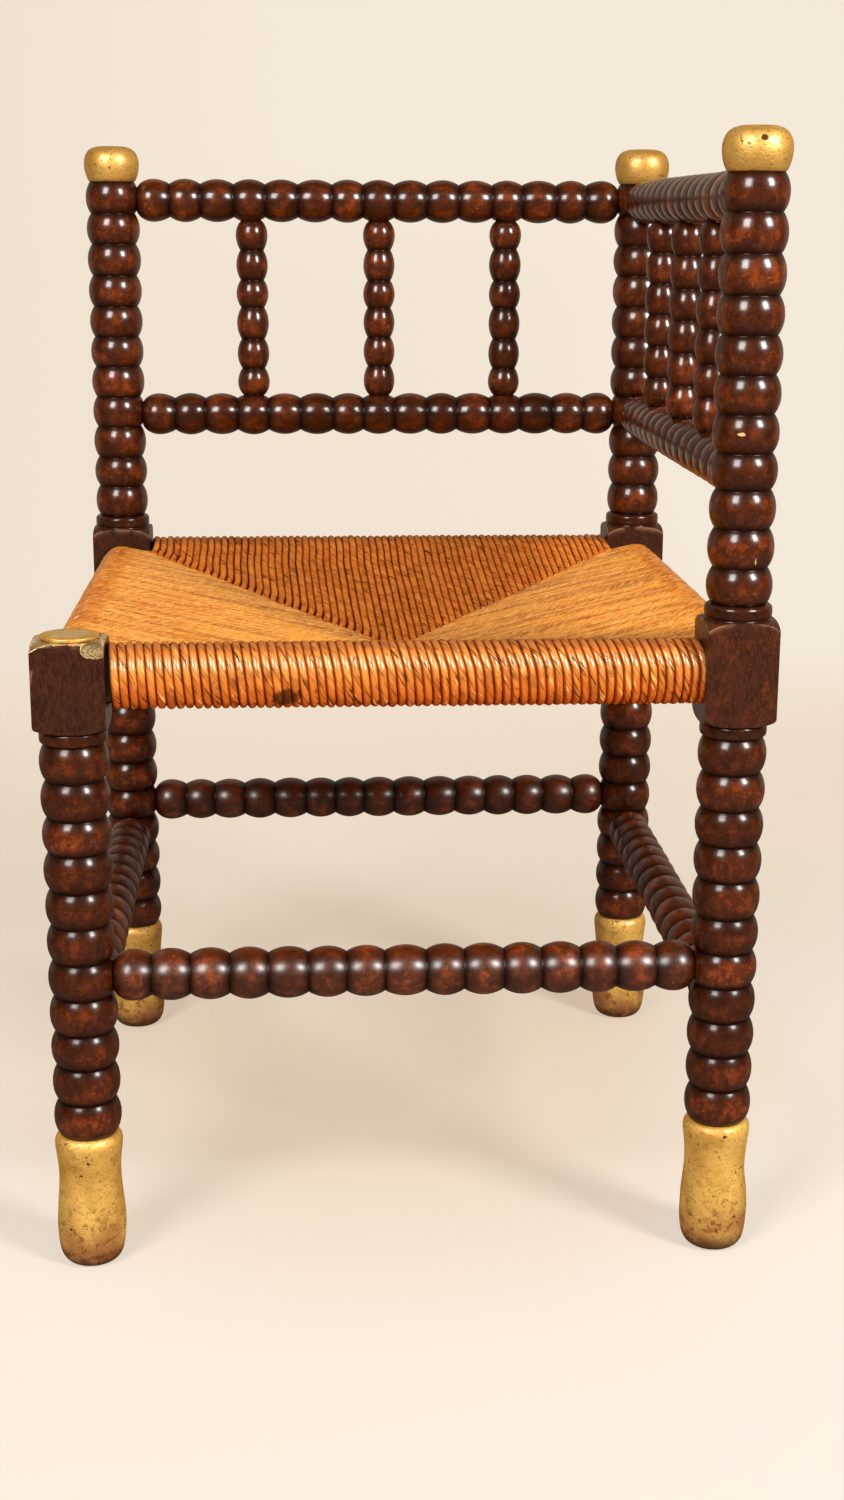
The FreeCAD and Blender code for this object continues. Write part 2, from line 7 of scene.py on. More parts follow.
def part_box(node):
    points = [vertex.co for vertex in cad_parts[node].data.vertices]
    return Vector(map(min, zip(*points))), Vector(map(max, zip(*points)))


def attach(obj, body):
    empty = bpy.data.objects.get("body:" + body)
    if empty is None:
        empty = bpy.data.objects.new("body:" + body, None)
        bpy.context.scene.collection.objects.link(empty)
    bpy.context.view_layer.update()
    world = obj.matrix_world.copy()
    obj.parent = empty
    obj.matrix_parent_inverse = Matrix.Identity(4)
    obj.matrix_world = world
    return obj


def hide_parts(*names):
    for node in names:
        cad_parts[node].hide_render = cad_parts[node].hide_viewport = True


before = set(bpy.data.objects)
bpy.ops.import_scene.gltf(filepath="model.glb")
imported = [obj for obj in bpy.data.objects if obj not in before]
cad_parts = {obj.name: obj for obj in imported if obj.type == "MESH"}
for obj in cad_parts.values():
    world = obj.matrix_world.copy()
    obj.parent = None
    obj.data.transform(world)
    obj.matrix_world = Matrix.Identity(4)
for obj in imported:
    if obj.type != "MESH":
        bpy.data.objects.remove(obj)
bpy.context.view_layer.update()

# Corner chair of bead-turned dark wood with gilded feet and finials and a rush seat.
# Lengths are in metres; the chair faces -Y, and its short post is at the front left.

CORNERS = ("front_left", "front_right", "back_left", "back_right")
SHORT_CORNER = "front_left"
SIDES = ("front", "right", "back", "left")

# Turned work: how many beads each run has, how full they are and how uneven the hand left them.
POST_BEADS = 11
RAIL_BEADS = 15
SPINDLE_BEADS = 6
LEG_RADIUS, UPPER_RADIUS = 0.0226, 0.0214
RAIL_RADIUS, STRETCHER_RADIUS, SPINDLE_RADIUS = 0.0170, 0.0174, 0.0130
POST_GROOVE, RAIL_GROOVE, SPINDLE_GROOVE = 0.0038, 0.0040, 0.0036
LEG_PITCH, UPPER_PITCH = 0.0247, 0.0244
BEAD_SINK, SPINDLE_SINK = 0.0020, 0.0022
RAIL_NECK, SPINDLE_NECK = 0.0040, 0.0020
RAIL_SQUARENESS, POST_SQUARENESS, BEAD_FULLNESS = 2.0, 2.15, 0.94
RAIL_UNEVEN, POST_UNEVEN = 0.045, 0.030
LEAN_BEAD, FULL_BEAD = -1.6, 0.4
LUMP_DENSITY, LUMP_HEIGHT = 55.0, 0.006
BEAD_SIDES, BEAD_ROWS, ROW_CROWDING = 56, 14, 0.55

# Where the chance in each run of beads or cords starts from.
UPPER_RUN_SEED, SIDE_RAIL_SEED = 10, 5
RAIL_SEED, STRETCHER_SEED, RUSH_SEED = 20, 30, 40
SPINDLE_SEED = {"back": 50, "side": 60}

# How much redder or darker than the rest each turned piece is.
POST_WARMTH = {"front_left": -0.15, "front_right": 0.0, "back_left": 0.30, "back_right": 0.10}
BLOCK_WARMTH = {"front_left": 0.0, "front_right": 1.50, "back_left": 0.30, "back_right": 0.60}
RING_WARMTH = -0.35
RAIL_WARMTH = {"top": 0.0, "lower": -0.10}
STRETCHER_WARMTH = {"front": 0.45, "right": 0.0, "back": 0.0, "left": 0.0}
SPINDLE_WARMTH = {"back": (0.40, 0.60, 0.05), "side": (0.05, 0.05, 0.05)}

# The square block of a post, with a thin ring above and below it.
BLOCK_HALF = 0.02325
RING_HEIGHT, RING_RADIUS, RING_EDGE, RING_SQUARENESS = 0.0094, 0.0220, 0.0202, 3
SHOULDER_ROUND = 0.014
BLOCK_COLUMNS, SHOULDER_ROWS, RING_ROWS = 16, 6, 8
WORN_EDGE, WORN_STEPS, HAIR = 0.0008, 3, 0.0001
GILT_DEPTH, GILT_START = 0.006, 4.0
GRAIN_SHIFT = (0.37, 0.11, 0.0)

# Outlines of the gilded feet and finials, as radii and heights from their own undersides.
FOOT_OUTLINE = (
    (0.0135, 0.0), (0.0170, 0.0012), (0.0198, 0.0040), (0.0218, 0.0090), (0.0228, 0.0160),
    (0.0232, 0.0240), (0.0232, 0.0320), (0.0225, 0.0420), (0.0215, 0.0520), (0.0210, 0.0620),
    (0.0212, 0.0700), (0.0220, 0.0780), (0.0228, 0.0850), (0.0226, 0.0895), (0.0210, 0.0928),
    (0.0190, 0.0940))
FINIAL_OUTLINE = (
    (0.0176, 0.0), (0.0186, 0.0008), (0.0198, 0.0030), (0.0211, 0.0070), (0.0218, 0.0110),
    (0.0219, 0.0145), (0.0214, 0.0180), (0.0203, 0.0210), (0.0184, 0.0238), (0.0160, 0.0256),
    (0.0148, 0.0262), (0.0143, 0.0259), (0.0137, 0.0264), (0.0112, 0.0272), (0.0070, 0.0275))
TURNED_SIDES, ROWS_PER_POINT = 72, 4
TURNED_UNEVEN, TURNED_SHIFT, TURNED_RISE = 0.0007, 3.1, 45

# The rush: one cord beside the next along each rail, over it and back under it to the mitres.
CORDS = 68
CORD_THICKNESS, CORD_SQUARENESS = 0.0060, 2.05
CORD_SIDES, CORD_STEP, ROLL_STEPS = 12, 0.0042, 28
ROLL_HALF = 0.0180
SEAT_DIP = 0.049
SEAT_MIDDLE_THICKNESS = 0.013
CENTRE_LAP, LAP_START, LAP_END = 0.017, 0.009, 0.021
TOP_SLOPE, UNDER_SLOPE = 1.019, 1.002
# How soiled each panel is: real dirt, and on the front and back panels also painted shade.
RUSH_SOIL_AND_SHADE = {"front": 0.78, "right": 0.0, "back": 0.70, "left": 0.0}
RUSH_LIFT = {"front": 0.0, "right": 0.0, "back": 0.004, "left": 0.0}

# How the cords lean over the crest, slant down the face of the roll, hook aside at the mitres and twist.
LEAN_BELOW, LEAN_BEFORE, LEAN_REACH, LEAN_PIVOT = 0.016, 0.010, 0.03, 0.05
CREST_LEAN, CREST_SWEEP, INNER_LEAN, SEAT_LEAN = 0.05, 0.22, 0.06, 0.05
SLANT_BELOW, SLANT = 0.008, 0.10
HOOK_LENGTH, HOOK = 0.014, 0.0020
CORD_SWAY, CORD_PRESS, CORD_PUFF = 0.0010, 0.0011, 0.0018
CORD_TWIST, STRAND = 190.0, 0.0027

# Knocks in the wood, dents in the gilding and other marks of wear, as places on the chair and sizes.
KNOCKS = (
    ((0.2080, -0.2352, 0.5632), (0.0030, 0.0040, 0.0014)),
    ((0.2207, -0.2356, 0.4828), (0.0006, 0.0040, 0.0030)),
    ((0.2050, -0.1154, 0.6898), (0.0022, 0.0040, 0.0050)),
)
DENTS = (
    ((0.2144, -0.2350, 0.7412), (0.0030, 0.0060, 0.0024)),
    ((0.2164, -0.2365, 0.0883), (0.0017, 0.0040, 0.0015)),
    ((-0.2140, -0.2365, 0.0791), (0.0014, 0.0040, 0.0014)),
    ((-0.2187, -0.2362, 0.0696), (0.0011, 0.0040, 0.0011)),
    ((-0.2272, -0.2333, 0.0300), (0.0016, 0.0040, 0.0013)),
)
HANGING_GILT = ((-0.1985, -0.2383, 0.4285), (0.0095, 0.0100, 0.0062))
CAP_TOP = ((-0.2150, -0.2150, 0.4372), (0.0180, 0.0180, 0.0030))
RUSH_STAIN = ((-0.0780, -0.2320, 0.3965), (0.0105, 0.0300, 0.0075))
KNOCK_RAGGED, STAIN_RAGGED = (0.0016, 0.0016, 0.0016), (0.008, 0.008, 0.010)
FINE_RELIEF, RUSH_RELIEF, BARE_RELIEF = 0.00025, 0.00010, 0.0003


def node_maths(operation, swapped=False):
    """A method of Field that adds one Math node."""
    def method(self, *others):
        values = (*others, self) if swapped else (self, *others)
        return self.maker.add("ShaderNodeMath", {"operation": operation}, *values)
    return method


class Field:
    """One output of a node, with the arithmetic that adds Math nodes to its tree."""

    __add__, __radd__ = node_maths("ADD"), node_maths("ADD", swapped=True)
    __sub__, __rsub__ = node_maths("SUBTRACT"), node_maths("SUBTRACT", swapped=True)
    __mul__, __rmul__ = node_maths("MULTIPLY"), node_maths("MULTIPLY", swapped=True)
    __truediv__, __pow__ = node_maths("DIVIDE"), node_maths("POWER")
    least, most, above = node_maths("MINIMUM"), node_maths("MAXIMUM"), node_maths("GREATER_THAN")
    floor, abs, sin, cos = (node_maths(kind) for kind in ("FLOOR", "ABSOLUTE", "SINE", "COSINE"))

    def __init__(self, maker, node, socket):
        self.maker = maker
        self.node = node
        self.socket = socket

    def out(self, name):
        found = next(s for s in self.node.outputs if s.name == name and s.enabled)
        return Field(self.maker, self.node, found)

    def clamped(self):
        return self.maker.add("ShaderNodeMath", {"operation": "ADD", "use_clamp": True}, self, 0.0)

    def between(self, low, high):
        """0 on low's side, 1 on high's side, and smooth between them."""
        return self.maker.add(
            "ShaderNodeMapRange", {"interpolation_type": "SMOOTHSTEP"},
            **{"Value": self, "From Min": low, "From Max": high, "To Min": 0.0, "To Max": 1.0})


class Maker:
    """Adds nodes to one tree, and feeds their sockets with values or with other nodes."""

    def __init__(self, tree):
        self.tree = tree

    def add(self, kind, settings=None, *values, **named):
        node = self.tree.nodes.new(kind)
        for name, value in (settings or {}).items():
            if name == "stops":
                self.set_stops(node.color_ramp, value)
            else:
                setattr(node, name, value)
        open_inputs = [s for s in node.inputs if s.enabled]
        for socket, value in zip(open_inputs, values):
            self.feed(socket, value)
        for name, value in named.items():
            self.feed(next(s for s in open_inputs if s.name == name), value)
        shown = [s for s in node.outputs if s.enabled]
        return Field(self, node, shown[0] if shown else None)

    @staticmethod
    def set_stops(ramp, stops):
        while len(ramp.elements) < len(stops):
            ramp.elements.new(0.5)
        for element, (place, colour) in zip(ramp.elements, stops):
            element.position = place
            element.color = (*colour, 1.0)

    def feed(self, socket, value):
        if isinstance(value, Field):
            self.tree.links.new(value.socket, socket)
        elif socket.type == "RGBA" and len(value) == 3:
            socket.default_value = (*value, 1.0)
        else:
            socket.default_value = value

    def vector(self, x, y, z):
        return self.add("ShaderNodeCombineXYZ", None, x, y, z)

    def parts(self, vector):
        split = self.add("ShaderNodeSeparateXYZ", None, vector)
        return split.out("X"), split.out("Y"), split.out("Z")

    def scaled(self, vector, factors):
        return self.add("ShaderNodeVectorMath", {"operation": "MULTIPLY"}, vector, factors)

    def moved(self, vector, offset):
        return self.add("ShaderNodeVectorMath", {"operation": "ADD"}, vector, offset)

    def noise(self, vector, scale, detail=2.0, roughness=0.5, along=1.0):
        """Cloudy chance about a place, drawn out along its Z where along is less than 1."""
        if along != 1.0:
            vector = self.scaled(vector, (1.0, 1.0, along))
        return self.add("ShaderNodeTexNoise", None,
                        Vector=vector, Scale=scale, Detail=detail, Roughness=roughness)

    def chance(self, number, seed, low, high):
        """One even chance for each number."""
        return self.add("FunctionNodeRandomValue", {"data_type": "FLOAT"},
                        Min=low, Max=high, ID=number, Seed=seed)

    def mix(self, factor, first, second):
        return self.add("ShaderNodeMix", {"data_type": "RGBA"}, Factor=factor, A=first, B=second)

    def layers(self, colour, *coats):
        """A colour with others laid over it in turn, each by its own factor."""
        for factor, coat in coats:
            colour = self.mix(factor, colour, coat)
        return colour


# Shapes

def middle(low, high):
    """The point halfway between two corners of a box."""
    return [(a + b) / 2 for a, b in zip(low, high)]


def put_in_scene(name, data):
    thing = bpy.data.objects.new(name, data)
    bpy.context.scene.collection.objects.link(thing)
    return thing


def upright_skin(name, columns):
    """A closed smooth mesh from columns of points round an upright axis, each from bottom to top."""
    rows, count = len(columns[0]), len(columns)
    faces = []
    for column in range(count):
        here, there = column * rows, (column + 1) % count * rows
        faces += [(here + k, there + k, there + k + 1, here + k + 1) for k in range(rows - 1)]
    faces.append([column * rows for column in reversed(range(count))])
    faces.append([column * rows + rows - 1 for column in range(count)])
    mesh = bpy.data.meshes.new(name)
    mesh.from_pydata([point for column in columns for point in column], [], faces)
    mesh.shade_smooth()
    return mesh


def finished(piece, node):
    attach(piece, "root")
    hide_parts(node)
    return piece


def geometry_tree(name, inputs):
    """A new tree with a geometry coming in and going out and these named inputs; gives each input."""
    tree = bpy.data.node_groups.new(name, "GeometryNodeTree")
    tree.interface.new_socket("Geometry", in_out="OUTPUT", socket_type="NodeSocketGeometry")
    tree.interface.new_socket("Geometry", in_out="INPUT", socket_type="NodeSocketGeometry")
    for label, kind in inputs:
        tree.interface.new_socket(label, in_out="INPUT", socket_type=f"NodeSocket{kind}")
    maker = Maker(tree)
    start = maker.add("NodeGroupInput")
    return maker, {label: start.out(label) for label in ["Geometry"] + [label for label, _kind in inputs]}


def end_tree(maker, geometry, material):
    whole = maker.add("GeometryNodeRealizeInstances", None, geometry)
    painted = maker.add("GeometryNodeSetMaterial", None, Geometry=whole, Material=material)
    maker.add("NodeGroupOutput", None, painted)
    return maker.tree


def stored(maker, geometry, name, value, kind="FLOAT"):
    return maker.add("GeometryNodeStoreNamedAttribute", {"data_type": kind, "domain": "POINT"},
                     Geometry=geometry, Name=name, Value=value)


def set_down(maker, geometry, given):
    """The geometry smoothed, turned and put in its place."""
    smooth = maker.add("GeometryNodeSetShadeSmooth", None, Geometry=geometry)
    return maker.add("GeometryNodeTransform", None, Geometry=smooth, Translation=given["Place"],
                     Rotation=given["Turn"])


def apply_trees(piece, steps):
    """Run each tree on a piece with its named inputs, and keep the result as a plain mesh."""
    for tree, values in steps:
        modifier = piece.modifiers.new(tree.name, "NODES")
        modifier.node_group = tree
        for item in tree.interface.items_tree:
            if item.in_out == "INPUT" and item.name in values:
                modifier[item.identifier] = values[item.name]
    bpy.context.view_layer.update()
    depsgraph = bpy.context.evaluated_depsgraph_get()
    mesh = bpy.data.meshes.new_from_object(piece.evaluated_get(depsgraph))
    piece.modifiers.clear()
    piece.data = mesh
    mesh.name = piece.name


def bead_run_tree():
    """A run of turned beads up the Z axis, then turned and put in its place beside what comes in."""
    maker, given = geometry_tree("turned_beads", [
        ("Length", "Float"), ("Beads", "Int"), ("Radius", "Float"), ("Groove", "Float"),
        ("Squareness", "Float"), ("Uneven", "Float"), ("Neck", "Float"), ("Warmth", "Float"),
        ("Seed", "Int"), ("Place", "Vector"), ("Turn", "Rotation"), ("Material", "Material"),
    ])
    beads, uneven, seed = given["Beads"], given["Uneven"], given["Seed"]
    blank = maker.add("GeometryNodeMeshCylinder", {"fill_type": "NGON"}, **{
        "Vertices": BEAD_SIDES, "Side Segments": beads * BEAD_ROWS, "Radius": 1.0, "Depth": given["Length"]})
    x, y, z = maker.parts(maker.add("GeometryNodeInputPosition"))
    along = (z / given["Length"] + 0.5) * beads
    bead = along.floor().least(beads - 1)
    share = along - bead
    # Rows stand closer together in the grooves.
    share = share - (share * math.tau).sin() * (ROW_CROWDING / math.tau)

    def edge(number):
        """Where a groove is: a little off its place, but for the two ends of the run."""
        inner = number.above(0.5) * (beads - number).above(0.5)
        return number + maker.chance(number, seed + 1, -1.0, 1.0) * inner * uneven

    first, last = edge(bead), edge(bead + 1)
    height = (first + (last - first) * share) / beads * given["Length"]
    across = (share * 2 - 1).abs().least(1.0)
    belly = (1 - across ** given["Squareness"]).most(0.0) ** BEAD_FULLNESS
    full = given["Groove"] * (1 + maker.chance(bead, seed + 2, LEAN_BEAD, FULL_BEAD) * uneven)
    drawn_in = ((0.5 - along).most(along - beads + 0.5).most(0.0) * 2) ** 2
    radius = given["Radius"] - given["Groove"] + full * belly - given["Neck"] * drawn_in
    point = maker.vector(x * radius, y * radius, height)
    shift = [maker.chance(seed, seed + salt, -1.0, 1.0) for salt in (3, 4)]
    grain = maker.moved(point, maker.vector(*shift, 0.0))
    lumps = maker.noise(grain, LUMP_DENSITY, 1.0) - 0.5
    radius = radius + lumps * uneven * LUMP_HEIGHT
    # The marks are worked out from the blank's own points, so they are stored before these move.
    marked = stored(maker, blank, "grain", grain, "FLOAT_VECTOR")
    marked = stored(maker, marked, "groove", across)
    marked = stored(maker, marked, "bead", maker.chance(bead, seed + 5, 0.0, 1.0) + given["Warmth"])
    shaped = maker.add("GeometryNodeSetPosition", None, Geometry=marked,
                       Position=maker.vector(x * radius, y * radius, height))
    joined = maker.add("GeometryNodeJoinGeometry", None, set_down(maker, shaped, given))
    maker.feed(joined.node.inputs[0], given["Geometry"])
    return end_tree(maker, joined, given["Material"])


TURNS = {
    "X": (0.0, math.pi / 2, 0.0),
    "Y": (-math.pi / 2, 0.0, 0.0),
    "Z": (0.0, 0.0, 0.0),
}
BEAD_TREE = bead_run_tree()


def bead_run(axis, start, end, beads, radius, groove, squareness, uneven, seed, material,
             neck=0.0, warmth=0.0):
    """The tree of a run of beads from start to end, with its inputs."""
    return BEAD_TREE, {
        "Length": (Vector(end) - Vector(start)).length, "Beads": beads, "Radius": radius, "Groove": groove,
        "Squareness": squareness, "Uneven": uneven, "Neck": neck, "Warmth": warmth, "Seed": seed,
        "Place": start, "Turn": TURNS[axis], "Material": material,
    }


def turned_rail(node, axis, start, end, radius, seed, material,
                groove=RAIL_GROOVE, beads=RAIL_BEADS, neck=RAIL_NECK, warmth=0.0):
    """A rail, stretcher or spindle: one run of beads from start to end."""
    piece = put_in_scene(f"turned_{node}", bpy.data.meshes.new(node))
    apply_trees(piece, [bead_run(axis, start, end, beads, radius, groove, RAIL_SQUARENESS, RAIL_UNEVEN,
                                 seed, material, neck, warmth)])
    return finished(piece, node)


def ring_rows(low, high):
    """Outline of a thin ring between two heights, as radii and heights."""
    rows = []
    for row in range(RING_ROWS + 1):
        step = row / RING_ROWS * 2 - 1
        radius = RING_EDGE + (RING_RADIUS - RING_EDGE) * math.sqrt(1 - abs(step) ** RING_SQUARENESS)
        rows.append((radius, low + (high - low) * (step + 1) / 2))
    return rows


def square_block(name, x, y, low, block_low, block_high, high):
    """The square block of a post with its turned shoulders and rings, from low to high.

    Gives its mesh, the points on its arrises, and how far each point is above the upper arch there.
    """
    count = 4 * BLOCK_COLUMNS
    columns, rises = [], []
    for column in range(count):
        angle = math.tau * column / count
        reach = BLOCK_HALF / max(abs(math.cos(angle)), abs(math.sin(angle)))
        turn = math.asin((reach - RING_RADIUS) / SHOULDER_ROUND)
        shoulder = [
            (RING_RADIUS + SHOULDER_ROUND * math.sin(turn * step / SHOULDER_ROWS),
             SHOULDER_ROUND * (1 - math.cos(turn * step / SHOULDER_ROWS)))
            for step in range(SHOULDER_ROWS + 1)
        ]
        outline = ring_rows(low, block_low)
        outline += [(radius, block_low + rise) for radius, rise in shoulder]
        edge_rows = (len(outline) - 1, len(outline) + 1)
        outline.append((reach, (block_low + block_high) / 2))
        outline += [(radius, block_high - rise) for radius, rise in reversed(shoulder)]
        if high > block_high:
            outline += ring_rows(block_high, high)
        columns.append([(x + r * math.cos(angle), y + r * math.sin(angle), z) for r, z in outline])
        rises += [z - (block_high - shoulder[-1][1]) for _r, z in outline]
    # The arrises: both arches of each face, and the four upright corners.
    rows = len(columns[0])
    arrises = [column * rows + row for column in range(count) for row in edge_rows]
    arrises += [
        column * rows + edge_rows[0] + 1 for column in range(count)
        if column % BLOCK_COLUMNS == BLOCK_COLUMNS // 2
    ]
    return upright_skin(name, columns), arrises, rises


def mark_block(mesh, origin, seed, warmth, arrises, gilded_rises):
    """The marks that the wood's finish reads: the grain's own place, the upper arches and the gilding."""
    marks = mesh.attributes
    marks.new("grain", "FLOAT_VECTOR", "POINT")
    for name in ("block", "bead", "arris", "gilding"):
        marks.new(name, "FLOAT", "POINT")
    shift = Vector([seed * step for step in GRAIN_SHIFT]) - Vector(origin)
    half_way = sum(point.co.z for point in mesh.vertices) / len(mesh.vertices)
    for point in mesh.vertices:
        marks["grain"].data[point.index].vector = point.co + shift
        on_block = (point.co - Vector(origin)).xy.length > RING_RADIUS + HAIR
        marks["block"].data[point.index].value = 1.0 if on_block else 0.0
        marks["bead"].data[point.index].value = warmth if on_block else RING_WARMTH
        if gilded_rises:
            marks["gilding"].data[point.index].value = GILT_START + gilded_rises[point.index] / GILT_DEPTH
    for index in arrises:
        marks["arris"].data[index].value = 1.0 if mesh.vertices[index].co.z > half_way else 0.0


def wear_arrises(piece, arrises):
    """Round the arrises of a block a little."""
    group = piece.vertex_groups.new(name="arrises")
    group.add(arrises, 1.0, "REPLACE")
    worn = piece.modifiers.new("worn_edges", "BEVEL")
    worn.width = WORN_EDGE
    worn.segments = WORN_STEPS
    worn.limit_method = "VGROUP"
    worn.vertex_group = group.name


def post(corner, seed, material):
    """A post: its block and rings, with a run of beads below, and above it on a tall post."""
    low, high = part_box(f"{corner}_post")
    x, y, _z = middle(low, high)
    tall = corner != SHORT_CORNER
    leg_top = low.z + LEG_PITCH * POST_BEADS
    upper_low = high.z - UPPER_PITCH * POST_BEADS
    block_low = leg_top + RING_HEIGHT
    block_high = upper_low - RING_HEIGHT if tall else high.z
    block_end = upper_low if tall else high.z
    mesh, arrises, rises = square_block(corner, x, y, leg_top, block_low, block_high, block_end)
    mark_block(mesh, (x, y, block_low), seed, BLOCK_WARMTH[corner], arrises, None if tall else rises)
    piece = put_in_scene(f"turned_{corner}_post", mesh)
    wear_arrises(piece, arrises)
    runs = [(low.z, leg_top, LEG_RADIUS, seed)]
    if tall:
        runs.append((upper_low, high.z, UPPER_RADIUS, seed + UPPER_RUN_SEED))
    apply_trees(piece, [
        bead_run("Z", (x, y, start), (x, y, end), POST_BEADS, radius, POST_GROOVE, POST_SQUARENESS,
                 POST_UNEVEN, run_seed, material, warmth=POST_WARMTH[corner])
        for start, end, radius, run_seed in runs
    ])
    return finished(piece, f"{corner}_post")


def curve_value(before, start, end, after, share):
    """A value between start and end, on the smooth curve that also goes through the two beside them."""
    slope = end - before
    bend = 2 * before - 5 * start + 4 * end - after
    swing = 3 * start - before - 3 * end + after
    return (2 * start + slope * share + bend * share ** 2 + swing * share ** 3) / 2


def smooth_outline(points):
    """The points of an outline with more between them, on a smooth curve through all."""
    whole = [points[0], *points, points[-1]]
    line = []
    for four in zip(whole, whole[1:], whole[2:], whole[3:]):
        for step in range(ROWS_PER_POINT):
            line.append([curve_value(*values, step / ROWS_PER_POINT) for values in zip(*four)])
    return line + [list(points[-1])]


def gilded_turning(node, outline, seed, material):
    """A foot or a finial, turned to an outline by hand, so never quite round."""
    low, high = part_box(node)
    x, y, _z = middle(low, high)
    base = low.z if node.endswith("_foot") else high.z - outline[-1][1]
    rows = smooth_outline(outline)
    columns = []
    for column in range(TURNED_SIDES):
        angle = math.tau * column / TURNED_SIDES
        out = Vector((math.cos(angle), math.sin(angle), 0.0))
        points = []
        for radius, rise in rows:
            lump = noise.noise(Vector((out.x + seed * TURNED_SHIFT, out.y, rise * TURNED_RISE)))
            place = out * max(radius + min(lump * TURNED_UNEVEN, 0.0), 0.0)
            points.append((x + place.x, y + place.y, base + rise))
        columns.append(points)
    mesh = upright_skin(node, columns)
    mesh.materials.append(material)
    return finished(put_in_scene(f"gilded_{node}", mesh), node)


# The rush

def rush_section(reach, crest, low, dip):
    """The line of one cord round its rail, from the middle of the seat over the crest and back below.

    It is in the panel's own Y and Z, with the rail at Y = 0 and the middle of the seat at Y = reach.
    """
    radius = CORD_THICKNESS / 2
    deep, tall = ROLL_HALF - radius, (crest - low) / 2 - radius
    half_way = (crest + low) / 2
    tilt = math.atan(dip / reach * deep / tall)
    fall = math.atan((low - (crest - dip - SEAT_MIDDLE_THICKNESS)) / reach * deep / tall)
    points = [(reach + CENTRE_LAP, crest - dip * (1 + CENTRE_LAP / reach) - radius)]
    for step in range(ROLL_STEPS + 1):
        angle = math.pi / 2 - tilt + (math.pi + tilt - fall) * step / ROLL_STEPS
        points.append((deep * math.cos(angle), half_way + tall * math.sin(angle)))
    points.append((reach + CENTRE_LAP, crest - dip - SEAT_MIDDLE_THICKNESS + radius))
    return points


def laid_cords(maker, given, pitch):
    """The line of a cord, repeated along its rail, each with its number."""
    section = maker.add("GeometryNodeMeshToCurve", None, given["Geometry"])
    row = maker.add("GeometryNodeMeshLine", {"mode": "OFFSET"}, **{
        "Count": CORDS, "Start Location": maker.vector((pitch - given["Length"]) * 0.5, 0.0, 0.0),
        "Offset": maker.vector(pitch, 0.0, 0.0)})
    points = maker.add("GeometryNodeMeshToPoints", {"mode": "VERTICES"}, row)
    points = stored(maker, points, "cord_number", maker.add("GeometryNodeInputIndex"))
    laid = maker.add("GeometryNodeInstanceOnPoints", None, Points=points, Instance=section)
    return maker.add("GeometryNodeRealizeInstances", None, laid)


def cord_aside(given, x, y, z, along):
    """How far aside a cord goes from its straight line."""
    crest, place = given["Crest"], x / given["Length"]
    # Cords lean as they come over the crest, and run on aslant to the mitre.
    rise = (z - (crest - LEAN_BELOW)).most(0.0)
    over = (y + LEAN_BEFORE).most(0.0)
    swept = CREST_LEAN + CREST_SWEEP * place.between(-0.45, 0.25)
    lean = rise * swept * -1 - over.least(LEAN_REACH) * INNER_LEAN - (over - LEAN_PIVOT) * SEAT_LEAN
    # Down the face of the roll they slant the other way, and straighten again below it.
    near_end, far_end = place.between(-0.5, -0.3), place.between(0.25, 0.49)
    drop = (crest - SLANT_BELOW - z).most(0.0)
    face = 1 - (crest - z).between(0.042, 0.020) * y.between(-0.004, 0.004)
    slant = drop * SLANT * (0.3 + 0.7 * near_end) * (1 - far_end) * (1 - y.between(0.0, 0.06)) * face
    # The ends at the mitres hook aside under the cords that cross them.
    hook = (1 - along / HOOK_LENGTH).most(0.0) ** 2 * HOOK * place.between(-0.08, 0.08)
    return lean + slant + hook


def cord_section(maker):
    """The section of a cord: nearly round, and pressed a little flat against its neighbours."""
    ring = maker.add("GeometryNodeCurvePrimitiveCircle", {"mode": "RADIUS"},
                     Resolution=CORD_SIDES, Radius=1.0)
    around = maker.add("GeometryNodeSplineParameter").out("Factor") * math.tau
    aside, up = around.cos(), around.sin()
    wide = (aside.abs() ** CORD_SQUARENESS + up.abs() ** CORD_SQUARENESS) ** (-1 / CORD_SQUARENESS)
    x, y, z = maker.parts(maker.add("GeometryNodeInputPosition"))
    pressed = maker.add("GeometryNodeSetPosition", None, Geometry=ring,
                        Position=maker.vector(x * wide, y * wide, z))
    return stored(maker, pressed, "around", maker.vector(aside, up, 0.0), "FLOAT_VECTOR")


